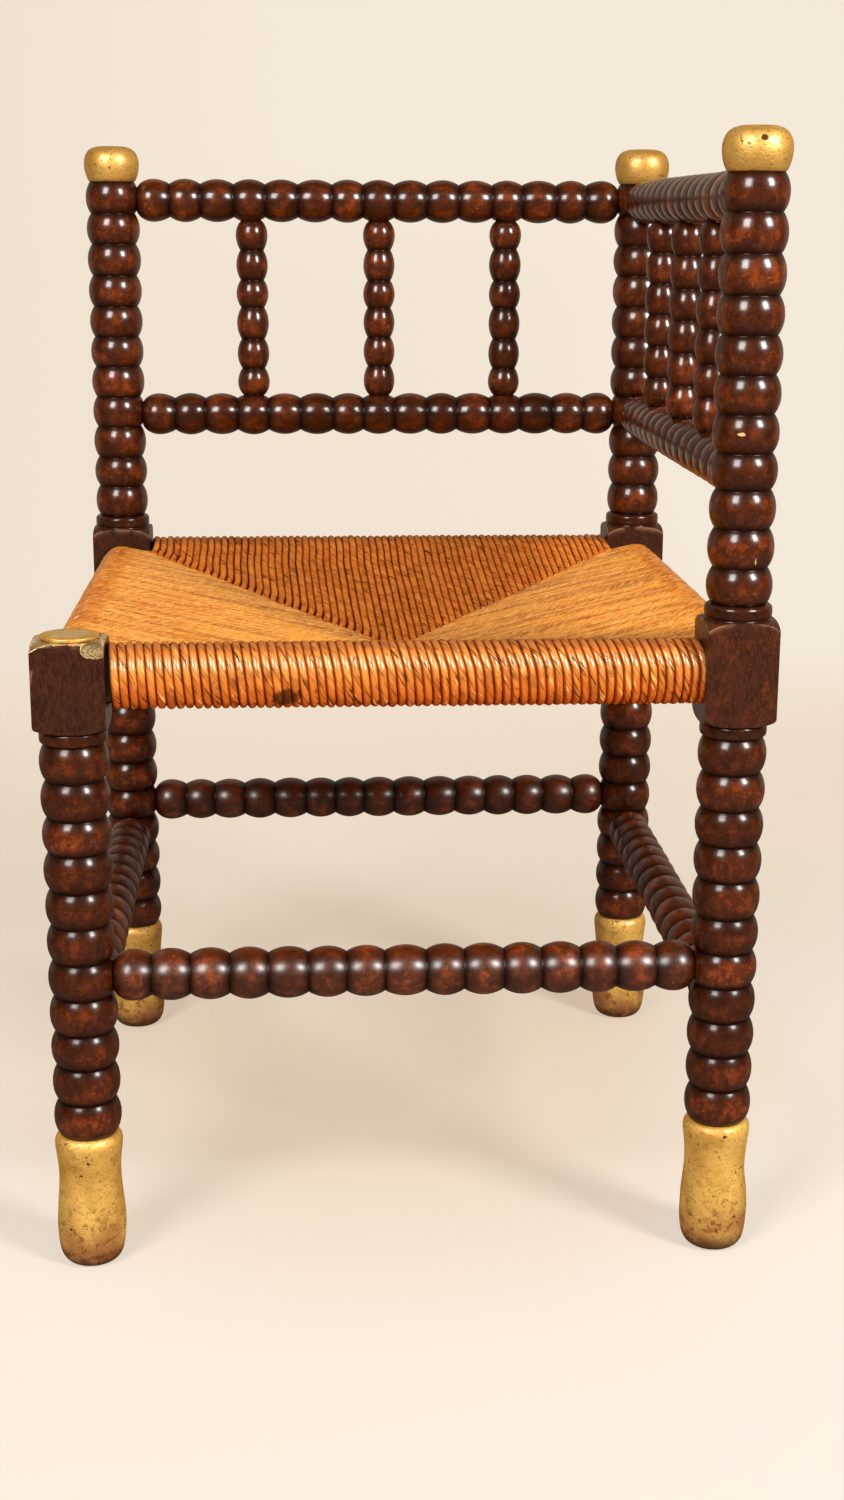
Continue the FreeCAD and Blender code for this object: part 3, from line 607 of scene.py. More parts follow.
def rush_tree():
    """Cords laid side by side along a rail, cut off at the mitres, each with its twist."""
    maker, given = geometry_tree("rush_cords", [
        ("Length", "Float"), ("Crest", "Float"), ("Soil_and_shade", "Float"), ("Seed", "Int"),
        ("Place", "Vector"), ("Turn", "Rotation"), ("Material", "Material"),
    ])
    pitch = given["Length"] / CORDS
    cords = laid_cords(maker, given, pitch)
    number = maker.add("GeometryNodeInputNamedAttribute", {"data_type": "FLOAT"}, Name="cord_number")
    from_middle = ((number + 0.5) * pitch - given["Length"] * 0.5).abs()
    length = maker.add("GeometryNodeSplineLength").out("Length")
    # Only the few cords in the middle lap over one another at the seat's centre.
    short = from_middle.between(LAP_START, LAP_END) * CENTRE_LAP
    cut = maker.add("GeometryNodeTrimCurve", {"mode": "LENGTH"}, **{
        "Curve": cords, "Start": from_middle * TOP_SLOPE + short,
        "End": length - from_middle * UNDER_SLOPE - short})
    even = maker.add("GeometryNodeResampleCurve", {"mode": "LENGTH"}, **{"Curve": cut, "Length": CORD_STEP})
    x, y, z = maker.parts(maker.add("GeometryNodeInputPosition"))
    along = maker.add("GeometryNodeSplineParameter").out("Length")
    place = maker.vector(x, along, maker.chance(number, given["Seed"] + 1, -9.0, 9.0))
    sway = maker.noise(place, 38.0, 1.0) - 0.5
    press = maker.noise(maker.moved(place, (4.0, 0.0, 0.0)), 50.0, 1.0) - 0.5
    puff = (maker.noise(maker.moved(place, (8.0, 0.0, 0.0)), 85.0, 1.0) - 0.5) * y.between(0.012, 0.0)
    aside = sway * CORD_SWAY + cord_aside(given, x, y, z, along)
    bent = maker.add("GeometryNodeSetPosition", None, Geometry=even, Position=maker.vector(
        x + aside, y + puff * CORD_PUFF, z + press * CORD_PRESS))
    # The crest and the seat behind it are soiled most.
    most_soiled = y.between(-0.0118, -0.0072) * (z - given["Crest"]).between(-0.066, -0.058)
    marked = stored(maker, bent, "along", along)
    marked = stored(maker, marked, "cord", maker.chance(number, given["Seed"] + 4, 0.0, 1.0))
    marked = stored(maker, marked, "soil", (0.20 + 0.80 * most_soiled) * given["Soil_and_shade"])
    marked = stored(maker, marked, "below", given["Crest"] - z)
    marked = stored(maker, marked, "face", 1 - y.between(0.002, 0.012))
    fullness = 0.97 + maker.chance(number, given["Seed"] + 5, -0.05, 0.05) + press * 0.10
    tubes = maker.add("GeometryNodeCurveToMesh", None, **{
        "Curve": marked, "Profile Curve": cord_section(maker), "Scale": fullness * (CORD_THICKNESS / 2),
        "Fill Caps": True})
    return end_tree(maker, set_down(maker, tubes, given), given["Material"])


def rush_panel(side, quarter, tree, material):
    """The rush of one side, from its rail to the middle of the seat."""
    _low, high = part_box(f"{side}_rush_panel")
    rail_low, rail_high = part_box(f"{side}_seat_rail")
    reach = middle(*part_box("front_right_post"))[0]
    roll_low = (rail_low.z + rail_high.z) - high.z
    crest = high.z + RUSH_LIFT[side]
    section = rush_section(reach, crest, roll_low, SEAT_DIP + RUSH_LIFT[side])
    mesh = bpy.data.meshes.new(side)
    mesh.from_pydata([(0.0, y, z) for y, z in section], [(k, k + 1) for k in range(len(section) - 1)], [])
    piece = put_in_scene(f"woven_{side}_rush", mesh)
    turn = quarter * math.pi / 2
    place = Matrix.Rotation(turn, 3, "Z") @ Vector((0.0, -reach, 0.0))
    apply_trees(piece, [(tree, {
        "Length": 2 * (reach - BLOCK_HALF), "Crest": crest, "Soil_and_shade": RUSH_SOIL_AND_SHADE[side],
        "Seed": RUSH_SEED + quarter, "Place": place, "Turn": (0.0, 0.0, turn), "Material": material,
    })])
    return finished(piece, f"{side}_rush_panel")


# Finishes

def new_finish(name):
    material = bpy.data.materials.new(name)
    material.use_nodes = True
    material.node_tree.nodes.clear()
    return material, Maker(material.node_tree)


def close_finish(maker, colour, roughness, height, relief, sockets=None):
    """Bring the colour, gloss and relief of a finish together in one shader."""
    bump = maker.add("ShaderNodeBump", None, Strength=1.0, Distance=relief, Height=height)
    shader = maker.add("ShaderNodeBsdfPrincipled", None, **{
        "Base Color": colour, "Roughness": roughness, "Normal": bump, **(sockets or {})})
    maker.add("ShaderNodeOutputMaterial", None, Surface=shader)


def mark(maker, name, kind="Fac"):
    """What a piece's own points say under this name."""
    return maker.add("ShaderNodeAttribute", {"attribute_name": name}).out(kind)


def place_in_frame(maker):
    return maker.add("ShaderNodeTexCoord").out("Object")


def facing_away(maker):
    """0 where the surface faces the eye, and 1 at its edge."""
    return maker.add("ShaderNodeLayerWeight", None, Blend=0.5).out("Facing")


def spot(maker, place, centre, size):
    """1 within a small blot about a point of the chair, and 0 outside it."""
    away = maker.scaled(maker.moved(place, [-value for value in centre]), [1 / value for value in size])
    reach = maker.add("ShaderNodeVectorMath", {"operation": "LENGTH"}, away).out("Value")
    return 1 - reach.between(0.6, 1.0)


def spots(maker, place, marks):
    """1 within any of these blots, which lie apart from one another."""
    return sum(spot(maker, place, centre, size) for centre, size in marks)


def ragged(maker, place, scale, detail, throw):
    """A place thrown about a little, so that a blot there has a ragged edge."""
    chance = maker.moved(maker.noise(place, scale, detail).out("Color"), (-0.5, -0.5, -0.5))
    return maker.moved(place, maker.scaled(chance, throw))


# Colours of the stain, and of the gilding on the short post.
GROOVE_SHADE_BLACK = (0.0080, 0.0013, 0.0003)
DARK_STAIN, BROWN_STAIN = (0.015, 0.0030, 0.0006), (0.030, 0.0056, 0.0009)
RED_STAIN = (0.185, 0.0315, 0.0028)
AMBER_FLECK, DARK_FLECK = (0.27, 0.068, 0.0135), (0.010, 0.0030, 0.0016)
# The greys of a painted sheen on the blocks.
BLOCK_SHEEN_DARK, BLOCK_SHEEN_PALE = (0.018, 0.0078, 0.0050), (0.060, 0.0220, 0.0130)
WORN_ARRIS, KNOCKED_WOOD = (0.40, 0.22, 0.11), (0.66, 0.42, 0.19)
SHOULDER_GOLD, SHOULDER_BRIGHT = (0.20, 0.120, 0.030), (0.40, 0.25, 0.075)
RIM_GOLD, CRAZE_BROWN = (0.74, 0.54, 0.27), (0.05, 0.022, 0.010)


def stain_colour(maker, grain, cloud, flecks, groove, bead, block):
    """Dark brown, red in patches where the beads' bellies are rubbed, painted shade near black in the
    grooves, and a painted sheen greying the blocks.
    """
    patches = maker.noise(grain, 150.0, 4.0, 0.6, along=0.75).between(0.47, 0.60)
    figure = maker.noise(grain, 230.0, 4.0, 0.55, along=1.1)
    speckle = maker.noise(grain, 800.0, 3.0, 0.65, along=0.30)
    figure = figure + (speckle - figure) * block
    warm = (0.30 + 0.70 * cloud.between(0.38, 0.66)) * (0.40 + 0.60 * bead)
    warm = warm * (1 - groove ** 2) * (1 - 0.6 * block)
    # The blocks' grey is a painted sheen over their speckled grain.
    block_sheen = maker.mix(speckle.between(0.30, 0.70), BLOCK_SHEEN_DARK, BLOCK_SHEEN_PALE)
    return maker.layers(
        maker.mix(figure.between(0.3, 0.7), DARK_STAIN, BROWN_STAIN),
        (warm * (0.38 + 0.62 * patches), RED_STAIN),
        (warm * flecks.between(0.62, 0.68) * 0.55, AMBER_FLECK),
        (flecks.between(0.36, 0.32) * 0.4, DARK_FLECK),
        # Painted shade, near black, fills the grooves.
        ((groove ** 5).clamped() * 0.95, GROOVE_SHADE_BLACK),
        (block * 0.45, block_sheen))


def shoulder_gilding(maker, place, grain, cloud, flecks):
    """Where the short post's shoulders are gilded, ragged along the arches, and the gold's colour there."""
    hanging = spot(maker, place, *HANGING_GILT)
    shaken = (maker.noise(grain, 260.0, 3.0, 0.6) - 0.5) * 0.55
    edge = mark(maker, "gilding") - GILT_START + shaken + hanging * 1.3
    gilded = edge.between(-0.06, 0.02)
    rim = gilded * (1 - edge.between(0.06, 0.22))
    # It is crazed where it hangs over an arch.
    crazed = hanging * (flecks.between(0.49, 0.52) - flecks.between(0.53, 0.56))
    gold = maker.layers(
        maker.mix(cloud.between(0.35, 0.65), SHOULDER_GOLD, SHOULDER_BRIGHT),
        ((rim + hanging * 0.5).clamped(), RIM_GOLD),
        (crazed.clamped(), CRAZE_BROWN))
    return gilded, gold


def wood_finish(name, coat_roughness, coat_ior, edge_loss):
    """Dark stained wood under old polish, with painted shade near black in the grooves."""
    material, maker = new_finish(name)
    place = place_in_frame(maker)
    grain = mark(maker, "grain", "Vector")
    groove, bead, block = mark(maker, "groove"), mark(maker, "bead"), mark(maker, "block")
    cloud = maker.noise(grain, 62.0)
    flecks = maker.noise(grain, 330.0, along=1.5)
    fibres = maker.noise(grain, 900.0, 3.0, 0.6, along=0.06)
    pits = maker.noise(grain, 520.0, 2.0, 0.6)
    # The upper arches of the blocks are worn pale here and there, and a few knocks go through the stain.
    worn = mark(maker, "arris") ** 24 * cloud.between(0.40, 0.56)
    gilded, gold = shoulder_gilding(maker, place, grain, cloud, flecks)
    knocked = spots(maker, ragged(maker, place, 900.0, 1.0, KNOCK_RAGGED), KNOCKS)
    colour = maker.layers(
        stain_colour(maker, grain, cloud, flecks, groove, bead, block),
        (worn.clamped() * 0.55, WORN_ARRIS),
        (gilded, gold),
        (knocked.clamped() * 0.9, KNOCKED_WOOD))
    rough = 0.29 + 0.06 * cloud + 0.06 * fibres.between(0.4, 0.8)
    height = fibres * 0.3 - pits.between(0.52, 0.8) * 0.8 - knocked
    polish = (0.90 - 0.25 * cloud + 0.2 * bead).clamped() * (1 - 0.75 * block) * (1 - groove ** 5)
    polish = polish * (1 - edge_loss * facing_away(maker) ** 2)
    close_finish(maker, colour, rough, height, FINE_RELIEF, {
        "Specular IOR Level": 0.075, "Coat Roughness": coat_roughness, "Coat IOR": coat_ior,
        "Metallic": gilded * 0.6, "Coat Weight": polish})
    return material


# Colours of the gilded feet, finials and cap.
DEEP_GOLD, BRIGHT_GOLD = (0.715, 0.380, 0.062), (0.950, 0.592, 0.142)
CRAZED_GOLD, MOTTLED_GOLD = (0.30, 0.140, 0.030), (0.42, 0.185, 0.034)
FINIAL_SHADE_GOLD, CAP_GOLD, GOLD_EDGE = (0.44, 0.205, 0.034), (0.40, 0.27, 0.14), (0.36, 0.17, 0.07)
RUBBED_RED, BLOT_RED = (0.27, 0.090, 0.034), (0.23, 0.060, 0.013)
BOTTOM_DARK_BROWN, SPECK_BROWN = (0.060, 0.026, 0.012), (0.080, 0.024, 0.007)


def gilt_finish():
    """Worn gold: crazed and specked, rubbed red at the bottom of the feet and darker brown at their very
    bottom.
    """
    material, maker = new_finish("worn_gilding")
    place = place_in_frame(maker)
    _x, _y, rise = maker.parts(place)
    cloud = maker.noise(place, 38.0, 3.0, 0.55)
    crazing = maker.noise(place, 420.0, 4.0, 0.6, along=1.3).between(0.53, 0.66)
    mottled = maker.noise(place, 105.0, 4.0, 0.6, along=1.3).between(0.50, 0.72)
    grit = maker.noise(place, 800.0, 2.0, 0.6)
    rubbed = (1 - (rise + (cloud - 0.5) * 0.08).between(0.002, 0.050)) * 0.85
    blots = maker.noise(place, 130.0, 3.0, 0.6).between(0.56, 0.62) * rise.between(0.060, 0.020)
    # The very bottom of the feet is darker brown.
    bottom_darkening = (1 - (rise + (mottled - 0.3) * 0.012).between(0.001, 0.014)) * 0.8
    cap_top = spot(maker, place, *CAP_TOP)
    # Scratches are thin lines, broken off here and there.
    lines = maker.noise(place, 300.0, along=1.5)
    lines = lines.between(0.495, 0.500) - lines.between(0.504, 0.509)
    scratches = lines * maker.noise(place, 75.0, 1.0).between(0.50, 0.60)
    specks = maker.noise(place, 330.0, 2.0, 0.55).between(0.655, 0.695)
    dark = (specks * 0.8 + scratches * 0.55 + spots(maker, place, DENTS)).clamped()
    # The finials are a deeper gold than the feet, painted shade where the lamps light them more strongly.
    gold = maker.layers(
        maker.mix(cloud.between(0.25, 0.75), DEEP_GOLD, BRIGHT_GOLD),
        (crazing * 0.45, CRAZED_GOLD),
        (rise.between(0.30, 0.70) * 0.30, FINIAL_SHADE_GOLD),
        (mottled * 0.50, MOTTLED_GOLD),
        (rubbed, RUBBED_RED),
        (blots * 0.65, BLOT_RED),
        (bottom_darkening, BOTTOM_DARK_BROWN),
        (cap_top * 0.8, CAP_GOLD),
        (dark, SPECK_BROWN))
    rough = 0.38 + 0.10 * cloud + 0.1 * grit + 0.16 * rise.between(0.30, 0.10)
    height = grit * 0.2 - crazing * 0.6 - dark * 1.5
    polish = (0.85 - 0.8 * dark - 0.5 * rubbed - 0.6 * blots).clamped()
    close_finish(maker, gold, rough, height, FINE_RELIEF, {
        "Specular IOR Level": 0.0, "Specular Tint": GOLD_EDGE, "Coat Roughness": 0.37, "Coat IOR": 1.6,
        "Metallic": (0.72 - 0.4 * rubbed) * (1 - 0.7 * dark) * (1 - 0.6 * cap_top),
        "Coat Weight": polish * (1 - 0.8 * facing_away(maker) ** 2)})
    return material


# Colours of the rush.
RUSH_BROWN, RUSH_GOLD = (0.32, 0.066, 0.005), (0.66, 0.230, 0.022)
CORD_FLANK_SHADE, FIBRE_GOLD = (0.30, 0.060, 0.005), (0.92, 0.545, 0.145)
DUSKY_RED, DUSKY_BROWN = (0.54, 0.110, 0.009), (0.64, 0.180, 0.034)
ROLL_RED, ROLL_PAINTED_HIGHLIGHT = (0.38, 0.078, 0.006), (0.62, 0.385, 0.125)
ROLL_LOWER_SHADE, ROLL_UNDER_SHADE = (0.46, 0.077, 0.005), (0.15, 0.026, 0.003)
SPLIT_PALE, CREST_DULL = (0.88, 0.52, 0.15), (0.31, 0.122, 0.038)
GAP_SHADE, CREASE_SHADE_AND_FLECK = (0.24, 0.022, 0.0008), (0.060, 0.015, 0.004)


def roll_layers(maker, own, fibres, below, face):
    """The face of the rolls: painted highlight under the crest, redder painted shade lower down, split here
    and there.
    """
    # A painted highlight lies a little under the crest, and painted shade on the lower face and the
    # underside.
    pale = below.between(0.005, 0.010) * below.between(0.022, 0.014) * face
    splits = maker.noise(own, 330.0, along=0.25).between(0.36, 0.31)
    return (
        (face * 0.40, ROLL_RED),
        (pale * (0.06 + 0.50 * fibres), ROLL_PAINTED_HIGHLIGHT),
        (below.between(0.018, 0.036) * face * 0.70, ROLL_LOWER_SHADE),
        (below.between(0.034, 0.043) * face * 0.70, ROLL_UNDER_SHADE),
        (splits * face * 0.50, SPLIT_PALE))


def rush_finish():
    """Twisted rush, from golden to brown, with fine fibres, dark flecks, a dry gloss, and painted shade in
    its creases and seams.
    """
    material, maker = new_finish("golden_rush")
    along, cord, number = mark(maker, "along"), mark(maker, "cord"), mark(maker, "cord_number")
    soil, below, face = mark(maker, "soil"), mark(maker, "below"), mark(maker, "face")
    x, y, _z = maker.parts(mark(maker, "around", "Vector"))
    turn = along * CORD_TWIST + cord * math.tau
    across, up = x * turn.cos() - y * turn.sin(), x * turn.sin() + y * turn.cos()
    own = maker.vector(across * STRAND + cord * 7.0, up * STRAND, along)
    # The front and back panels carry dirt and also painted shade.
    soiled = soil.between(0.0, 0.08)
    fibres = maker.noise(own, 1500.0, 3.0, 0.6, along=0.045)
    bands = maker.noise(own, 100.0, 3.0, 0.6, along=0.6)
    streaks = maker.noise(maker.vector(number * 0.45, along * 7.0, soil), 1.0)
    tone = bands * 0.20 + streaks * 0.50 + cord * 0.14 + across.between(-0.15, 0.15) * 0.16
    # The flat of the two side panels is worn smooth, and its cords show as fine lines, with painted shade
    # along their flanks.
    calm = (1 - face) * (1 - soiled)
    lines = maker.noise(maker.vector(number * 1.7, along * 9.0, cord), 1.0, 1.0)
    tone = tone.between(0.28, 0.66) * (1 - 0.85 * calm) + (0.06 + 0.75 * lines.between(0.32, 0.60)) * calm
    # Painted shade darkens the flanks of the side panels' cords.
    cord_flank_shade = x.abs().between(0.30, 0.75) * lines.between(0.56, 0.42) * calm
    dusky = maker.mix(fibres.between(0.40, 0.70), DUSKY_RED, DUSKY_BROWN)
    # Soiled crests are dull, and shade lies in the gaps between the cords.
    dulled = below.between(0.0075, 0.0045) * soiled
    gaps = x.abs().between(0.60, 0.92)
    # The creases and the seams between a cord's two strands are darkened as painted shade; the flecks and
    # the stain are the rush's own marks.
    creases = maker.noise(own, 800.0, along=0.08).between(0.575, 0.625)
    creases = creases * maker.noise(own, 75.0, 1.0).between(0.42, 0.52) * (0.35 + 0.65 * soiled)
    flecks = maker.noise(own, 480.0, along=0.5).between(0.68, 0.73)
    seams = across.abs().between(0.20, 0.06) * maker.noise(own, 120.0, 1.0).between(0.38, 0.52)
    shaken = ragged(maker, place_in_frame(maker), 260.0, 2.0, STAIN_RAGGED)
    stain = spot(maker, shaken, *RUSH_STAIN) * fibres.between(0.25, 0.45)
    dark = creases * (0.85 - 0.35 * calm) + flecks * 0.65 + seams * (0.62 - 0.47 * calm) + stain * 0.95
    dark = dark.clamped()
    colour = maker.layers(
        maker.mix(tone, RUSH_BROWN, RUSH_GOLD),
        (cord_flank_shade * 0.6, CORD_FLANK_SHADE),
        (fibres.between(0.42, 0.68) * (0.62 - 0.12 * face), FIBRE_GOLD),
        # Dirt and painted shade turn the front and back panels dusky.
        (soil * (0.75 + 0.5 * bands), dusky),
        *roll_layers(maker, own, fibres, below, face),
        (dulled * 0.70, CREST_DULL),
        (gaps * 0.9, GAP_SHADE),
        (dark, CREASE_SHADE_AND_FLECK))
    gloss = (1.0 - 1.3 * soil).most(0.0) * (1 - dulled) * (1 - gaps)
    gloss = gloss * (0.30 + fibres + 0.5 * (cord - 0.5))
    gloss = gloss * (1 - 0.8 * dark) * (1 - 0.6 * below.between(0.018, 0.034) * face)
    close_finish(maker, colour, 0.52 - 0.10 * fibres, fibres - creases * 3 - seams * 1.5, RUSH_RELIEF, {
        "Specular IOR Level": 0.0, "Coat Roughness": 0.20, "Coat IOR": 1.80, "Coat Weight": gloss.clamped()})
    return material


BARE_DARK, BARE_PALE = (0.055, 0.026, 0.012), (0.12, 0.06, 0.03)


def bare_wood_finish():
    """The plain wood of the seat rails, inside the rush."""
    material, maker = new_finish("bare_wood")
    grain = maker.noise(maker.scaled(place_in_frame(maker), (0.1, 0.1, 1.0)), 400.0, 3.0)
    colour = maker.mix(grain, BARE_DARK, BARE_PALE)
    close_finish(maker, colour, 0.6 + 0.15 * grain, grain, BARE_RELIEF)
    return material


# Putting the chair together

wood = wood_finish("dark_wood_polish", coat_roughness=0.19, coat_ior=1.50, edge_loss=0.75)
dull_wood = wood_finish("dull_dark_wood", coat_roughness=0.32, coat_ior=1.60, edge_loss=0.75)
side_wood = wood_finish("side_dark_wood", coat_roughness=0.22, coat_ior=1.65, edge_loss=0.0)
gilt = gilt_finish()
rush = rush_finish()
bare_wood = bare_wood_finish()

for seed, corner in enumerate(CORNERS, start=1):
    post(corner, seed, wood)


def between_posts(node, axis, first, second, post_radius, radius, seed, material, warmth=0.0):
    """A rail between two posts, its end beads sunk a little into theirs."""
    _x, _y, height = middle(*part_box(node))
    start, end = (Vector((*middle(*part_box(f"{corner}_post"))[:2], height)) for corner in (first, second))
    inset = (end - start).normalized() * (post_radius - BEAD_SINK)
    turned_rail(node, axis, start + inset, end - inset, radius, seed, material, warmth=warmth)


for seed, level in enumerate(("top", "lower"), start=RAIL_SEED):
    between_posts(f"back_{level}_rail", "X", "back_left", "back_right", UPPER_RADIUS, RAIL_RADIUS,
                  seed, wood, RAIL_WARMTH[level])
    between_posts(f"side_{level}_rail", "Y", "front_right", "back_right", UPPER_RADIUS, RAIL_RADIUS,
                  seed + SIDE_RAIL_SEED, side_wood)

stretcher_ends = {
    "front": ("X", "front_left", "front_right"),
    "right": ("Y", "front_right", "back_right"),
    "back": ("X", "back_left", "back_right"),
    "left": ("Y", "front_left", "back_left"),
}
for seed, (side, ends) in enumerate(stretcher_ends.items(), start=STRETCHER_SEED):
    between_posts(f"{side}_stretcher", *ends, LEG_RADIUS, STRETCHER_RADIUS,
                  seed, dull_wood, STRETCHER_WARMTH[side])

for side, warmths in SPINDLE_WARMTH.items():
    start_z = middle(*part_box(f"{side}_lower_rail"))[2] + RAIL_RADIUS - SPINDLE_SINK
    end_z = middle(*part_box(f"{side}_top_rail"))[2] - RAIL_RADIUS + SPINDLE_SINK
    for number, warmth in enumerate(warmths, start=1):
        node = f"{side}_spindle_{number}"
        x, y, _z = middle(*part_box(node))
        turned_rail(node, "Z", (x, y, start_z), (x, y, end_z), SPINDLE_RADIUS, SPINDLE_SEED[side] + number,
                    wood, SPINDLE_GROOVE, SPINDLE_BEADS, SPINDLE_NECK, warmth)

rush_cords = rush_tree()
for quarter, side in enumerate(SIDES):
    rush_panel(side, quarter, rush_cords, rush)

for seed, corner in enumerate(CORNERS):
    gilded_turning(f"{corner}_foot", FOOT_OUTLINE, seed, gilt)
    if corner != SHORT_CORNER:
        gilded_turning(f"{corner}_finial", FINIAL_OUTLINE, seed + len(CORNERS), gilt)

for name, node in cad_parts.items():
    if name.endswith("_cap"):
        node.material_slots[0].material = gilt
    if name.endswith("_seat_rail"):
        node.material_slots[0].material = bare_wood


# The stage

PAPER_FRONT, PAPER_BACK, PAPER_HALF_WIDTH, PAPER_HEIGHT = -6.0, 3.2, 9.0, 6.0
PAPER_BEND, BEND_STEPS = 1.6, 16
NEAR_PAPER, PAPER_RUN = -0.8, 2.6
ROOM_CREAM = (0.913, 0.815, 0.687)
LEFT_SHADE_CREAM, RIGHT_LIGHT_CREAM = (0.82, 0.685, 0.55), (1.0, 0.90, 0.77)
SEAT_SHADOW_CREAM, WALL_SHADOW_CREAM = (0.60, 0.390, 0.190), (0.90, 0.765, 0.625)
LIT_PAPER = (0.80, 0.735, 0.65)
DIM_FLOOR, DIM_WALL = (0.05, 0.03, 0.02), (0.15, 0.08, 0.04)
ROOM_LIGHT, ROOM_GLINT = (1.0, 0.95, 0.88), (0.80, 0.48, 0.30)
LAMP_COLOUR = (1.0, 0.97, 0.93)
LAMP_AIM = (0.0, 0.0, 0.45)


def sweep_backdrop():
    """A pale floor that bends up into a wall behind the chair."""
    floor_end = PAPER_BACK - PAPER_BEND
    outline = [(PAPER_FRONT, 0.0), (floor_end, 0.0)]
    for step in range(1, BEND_STEPS + 1):
        angle = math.pi / 2 * step / BEND_STEPS
        outline.append((floor_end + PAPER_BEND * math.sin(angle), PAPER_BEND - PAPER_BEND * math.cos(angle)))
    outline.append((PAPER_BACK, PAPER_HEIGHT))
    points = [(side * PAPER_HALF_WIDTH, y, z) for y, z in outline for side in (-1, 1)]
    faces = [(2 * k, 2 * k + 1, 2 * k + 3, 2 * k + 2) for k in range(len(outline) - 1)]
    mesh = bpy.data.meshes.new("backdrop")
    mesh.from_pydata(points, [], faces)
    mesh.shade_smooth()
    backdrop = put_in_scene("backdrop", mesh)
    mesh.materials.append(paper_finish())


def paper_finish():
    """Cream paper: a pale cream to the eye with painted light and shade laid on it, which still takes the
    chair's soft shadow.
    """
    material, maker = new_finish("cream_paper")
    x, y, z = maker.parts(place_in_frame(maker))
    path = maker.add("ShaderNodeLightPath")
    polish = path.out("Is Glossy Ray")
    seen = (path.out("Is Camera Ray") + polish + path.out("Is Transmission Ray")).clamped()
    back = ((y + z - NEAR_PAPER) / PAPER_RUN).clamped()
    # From the front of the floor up to the wall the cream changes as painted light and shade: warmer and
    # darker behind the chair, brightest on the wall.
    cream = maker.add("ShaderNodeValToRGB", {"stops": [
        (0.10, (0.83, 0.810, 0.800)), (0.28, (0.87, 0.83, 0.80)), (0.50, (0.89, 0.735, 0.55)),
        (0.75, (0.90, 0.745, 0.58)), (1.0, (0.945, 0.845, 0.725))]}, back)
    # Under the seat the paper is a little browner with a painted shadow, and low on the wall behind the
    # chair a painted shadow darkens it.
    under = 1 - (x * x + (y - 0.15) * (y - 0.15) * 0.6).between(0.0, 0.18)
    behind = (1 - x * x * 2).most(0.0) * (y + z).between(3.9, 3.3)
    # In front of the chair and far to its sides the floor runs on into the room's own cream.
    far = (y * -1).between(1.0, 3.0).most(x.abs().between(1.6, 3.2))
    # Polish shows the floor dimmer, because only some of the room round the chair is paper.
    upright = back.between(0.42, 1.0)
    dim = maker.mix(upright, DIM_FLOOR, DIM_WALL)
    cream = maker.layers(
        cream,
        # Painted shade darkens the paper to the left, and painted light brightens the floor to the right.
        ((0.2 - x).between(0.0, 1.4) * 0.6, LEFT_SHADE_CREAM),
        (under * 0.95, SEAT_SHADOW_CREAM),
        (x.between(0.15, 0.5) * (1.4 - y).between(0.0, 1.2) * 0.6, RIGHT_LIGHT_CREAM),
        (behind * 0.6, WALL_SHADOW_CREAM),
        (far, ROOM_CREAM),
        (polish * (0.97 - 0.37 * upright), dim))
    lit = maker.add("ShaderNodeBsdfPrincipled", None, **{
        "Base Color": LIT_PAPER, "Roughness": 0.9, "Specular IOR Level": 0.1})
    glow = maker.add("ShaderNodeEmission", None, Color=cream, Strength=1.0)
    own_light = seen * (0.68 + 0.22 * upright).most(polish * 0.9).most(far)
    shader = maker.add("ShaderNodeMixShader", None, own_light, lit, glow)
    maker.add("ShaderNodeOutputMaterial", None, Surface=shader)
    return material


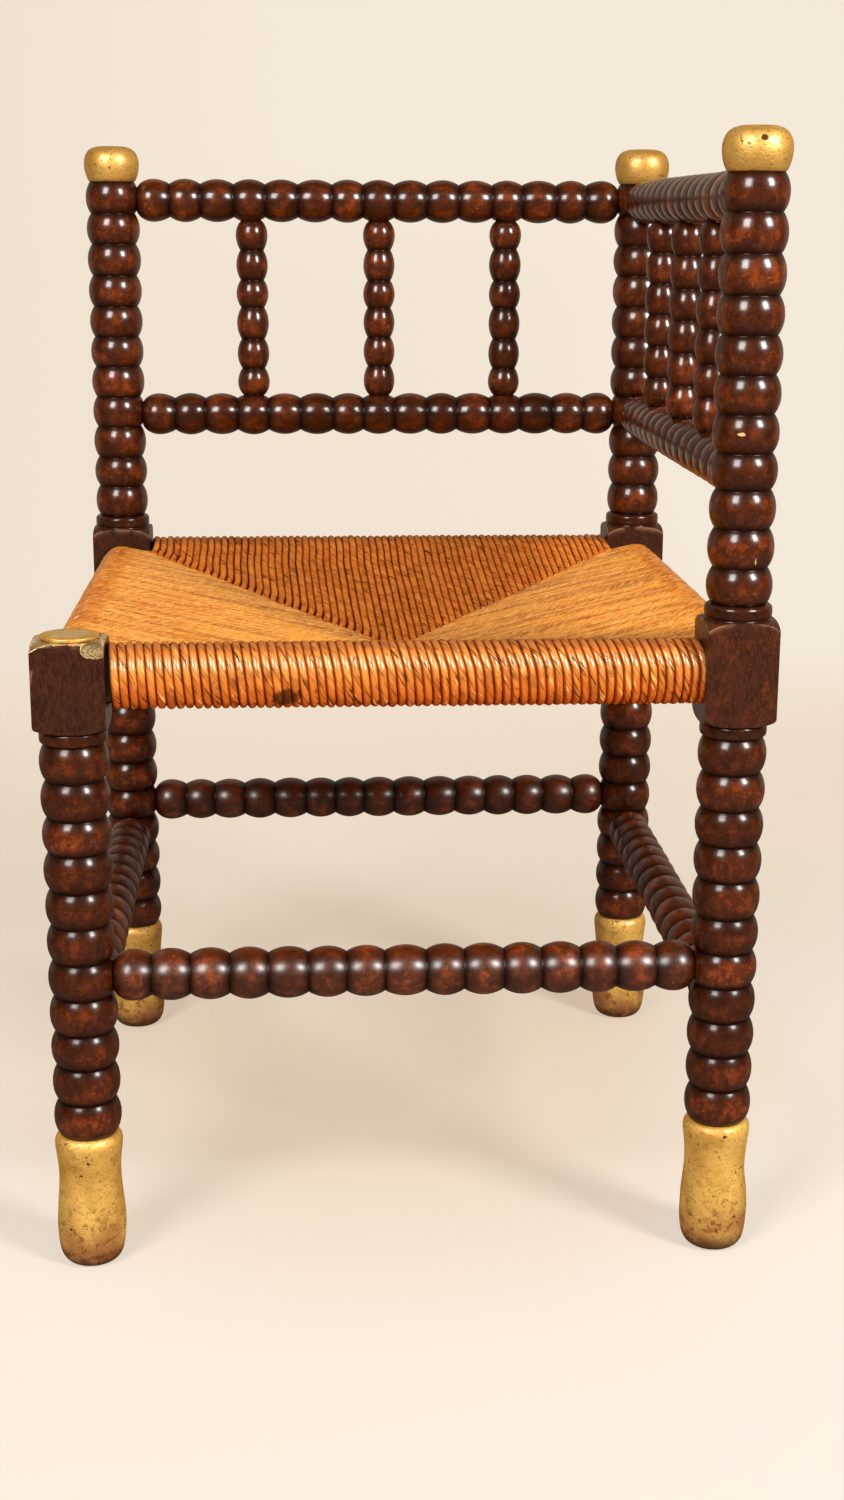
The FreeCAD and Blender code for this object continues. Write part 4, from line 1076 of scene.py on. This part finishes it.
def softbox(name, azimuth, elevation, distance, size, power):
    """A tall lamp at an angle from the front of the chair, aimed at it."""
    lamp = bpy.data.lights.new(name, "AREA")
    lamp.shape = "RECTANGLE"
    lamp.size, lamp.size_y = size
    lamp.energy = power
    lamp.color = LAMP_COLOUR
    holder = put_in_scene(name, lamp)
    turn, lift = math.radians(azimuth), math.radians(elevation)
    out = Vector((math.sin(turn) * math.cos(lift), -math.cos(turn) * math.cos(lift), math.sin(lift)))
    holder.location = Vector(LAMP_AIM) + out * distance
    holder.rotation_euler = out.to_track_quat("Z", "Y").to_euler()


def photo_camera():
    """The camera where the photograph was taken from, with its framing of 844 by 1500."""
    place = Vector((-0.0695, -1.5052, 0.6895))
    yaw, pitch, roll = 0.0618, 0.2516, -0.0040
    focal_pixels, tall_pixels, sensor = 2045.0, 1500.0, 36.0
    ahead = Vector((math.sin(yaw) * math.cos(pitch), math.cos(yaw) * math.cos(pitch), -math.sin(pitch)))
    right = Vector((math.cos(yaw), -math.sin(yaw), 0.0))
    down = ahead.cross(right)
    image_right = right * math.cos(roll) + down * math.sin(roll)
    image_up = ahead.cross(image_right) * -1
    lens = bpy.data.cameras.new("photo_camera")
    lens.sensor_width = sensor
    lens.lens = focal_pixels / tall_pixels * sensor
    holder = put_in_scene("photo_camera", lens)
    turned = Matrix((image_right, image_up, ahead * -1)).transposed()
    holder.matrix_world = Matrix.Translation(place) @ turned.to_4x4()
    bpy.context.scene.camera = holder


def room_light():
    """A dim even light from all round, and the wall's own cream wherever the paper ends."""
    world = bpy.data.worlds.new("room")
    world.use_nodes = True
    world.node_tree.nodes.clear()
    maker = Maker(world.node_tree)
    ray = maker.add("ShaderNodeLightPath")
    seen = ray.out("Is Camera Ray")
    colour = maker.mix(ray.out("Is Glossy Ray"), ROOM_LIGHT, ROOM_GLINT)
    colour = maker.mix(seen, colour, ROOM_CREAM)
    background = maker.add("ShaderNodeBackground", None, Color=colour, Strength=0.15 + 0.85 * seen)
    maker.add("ShaderNodeOutputWorld", None, Surface=background)
    bpy.context.scene.world = world


sweep_backdrop()
softbox("left_softbox", azimuth=-33, elevation=32, distance=2.9, size=(0.95, 1.25), power=82)
softbox("right_softbox", azimuth=44, elevation=29, distance=3.1, size=(0.70, 1.00), power=112)
room_light()
photo_camera()
bpy.context.scene.view_settings.view_transform = "Standard"
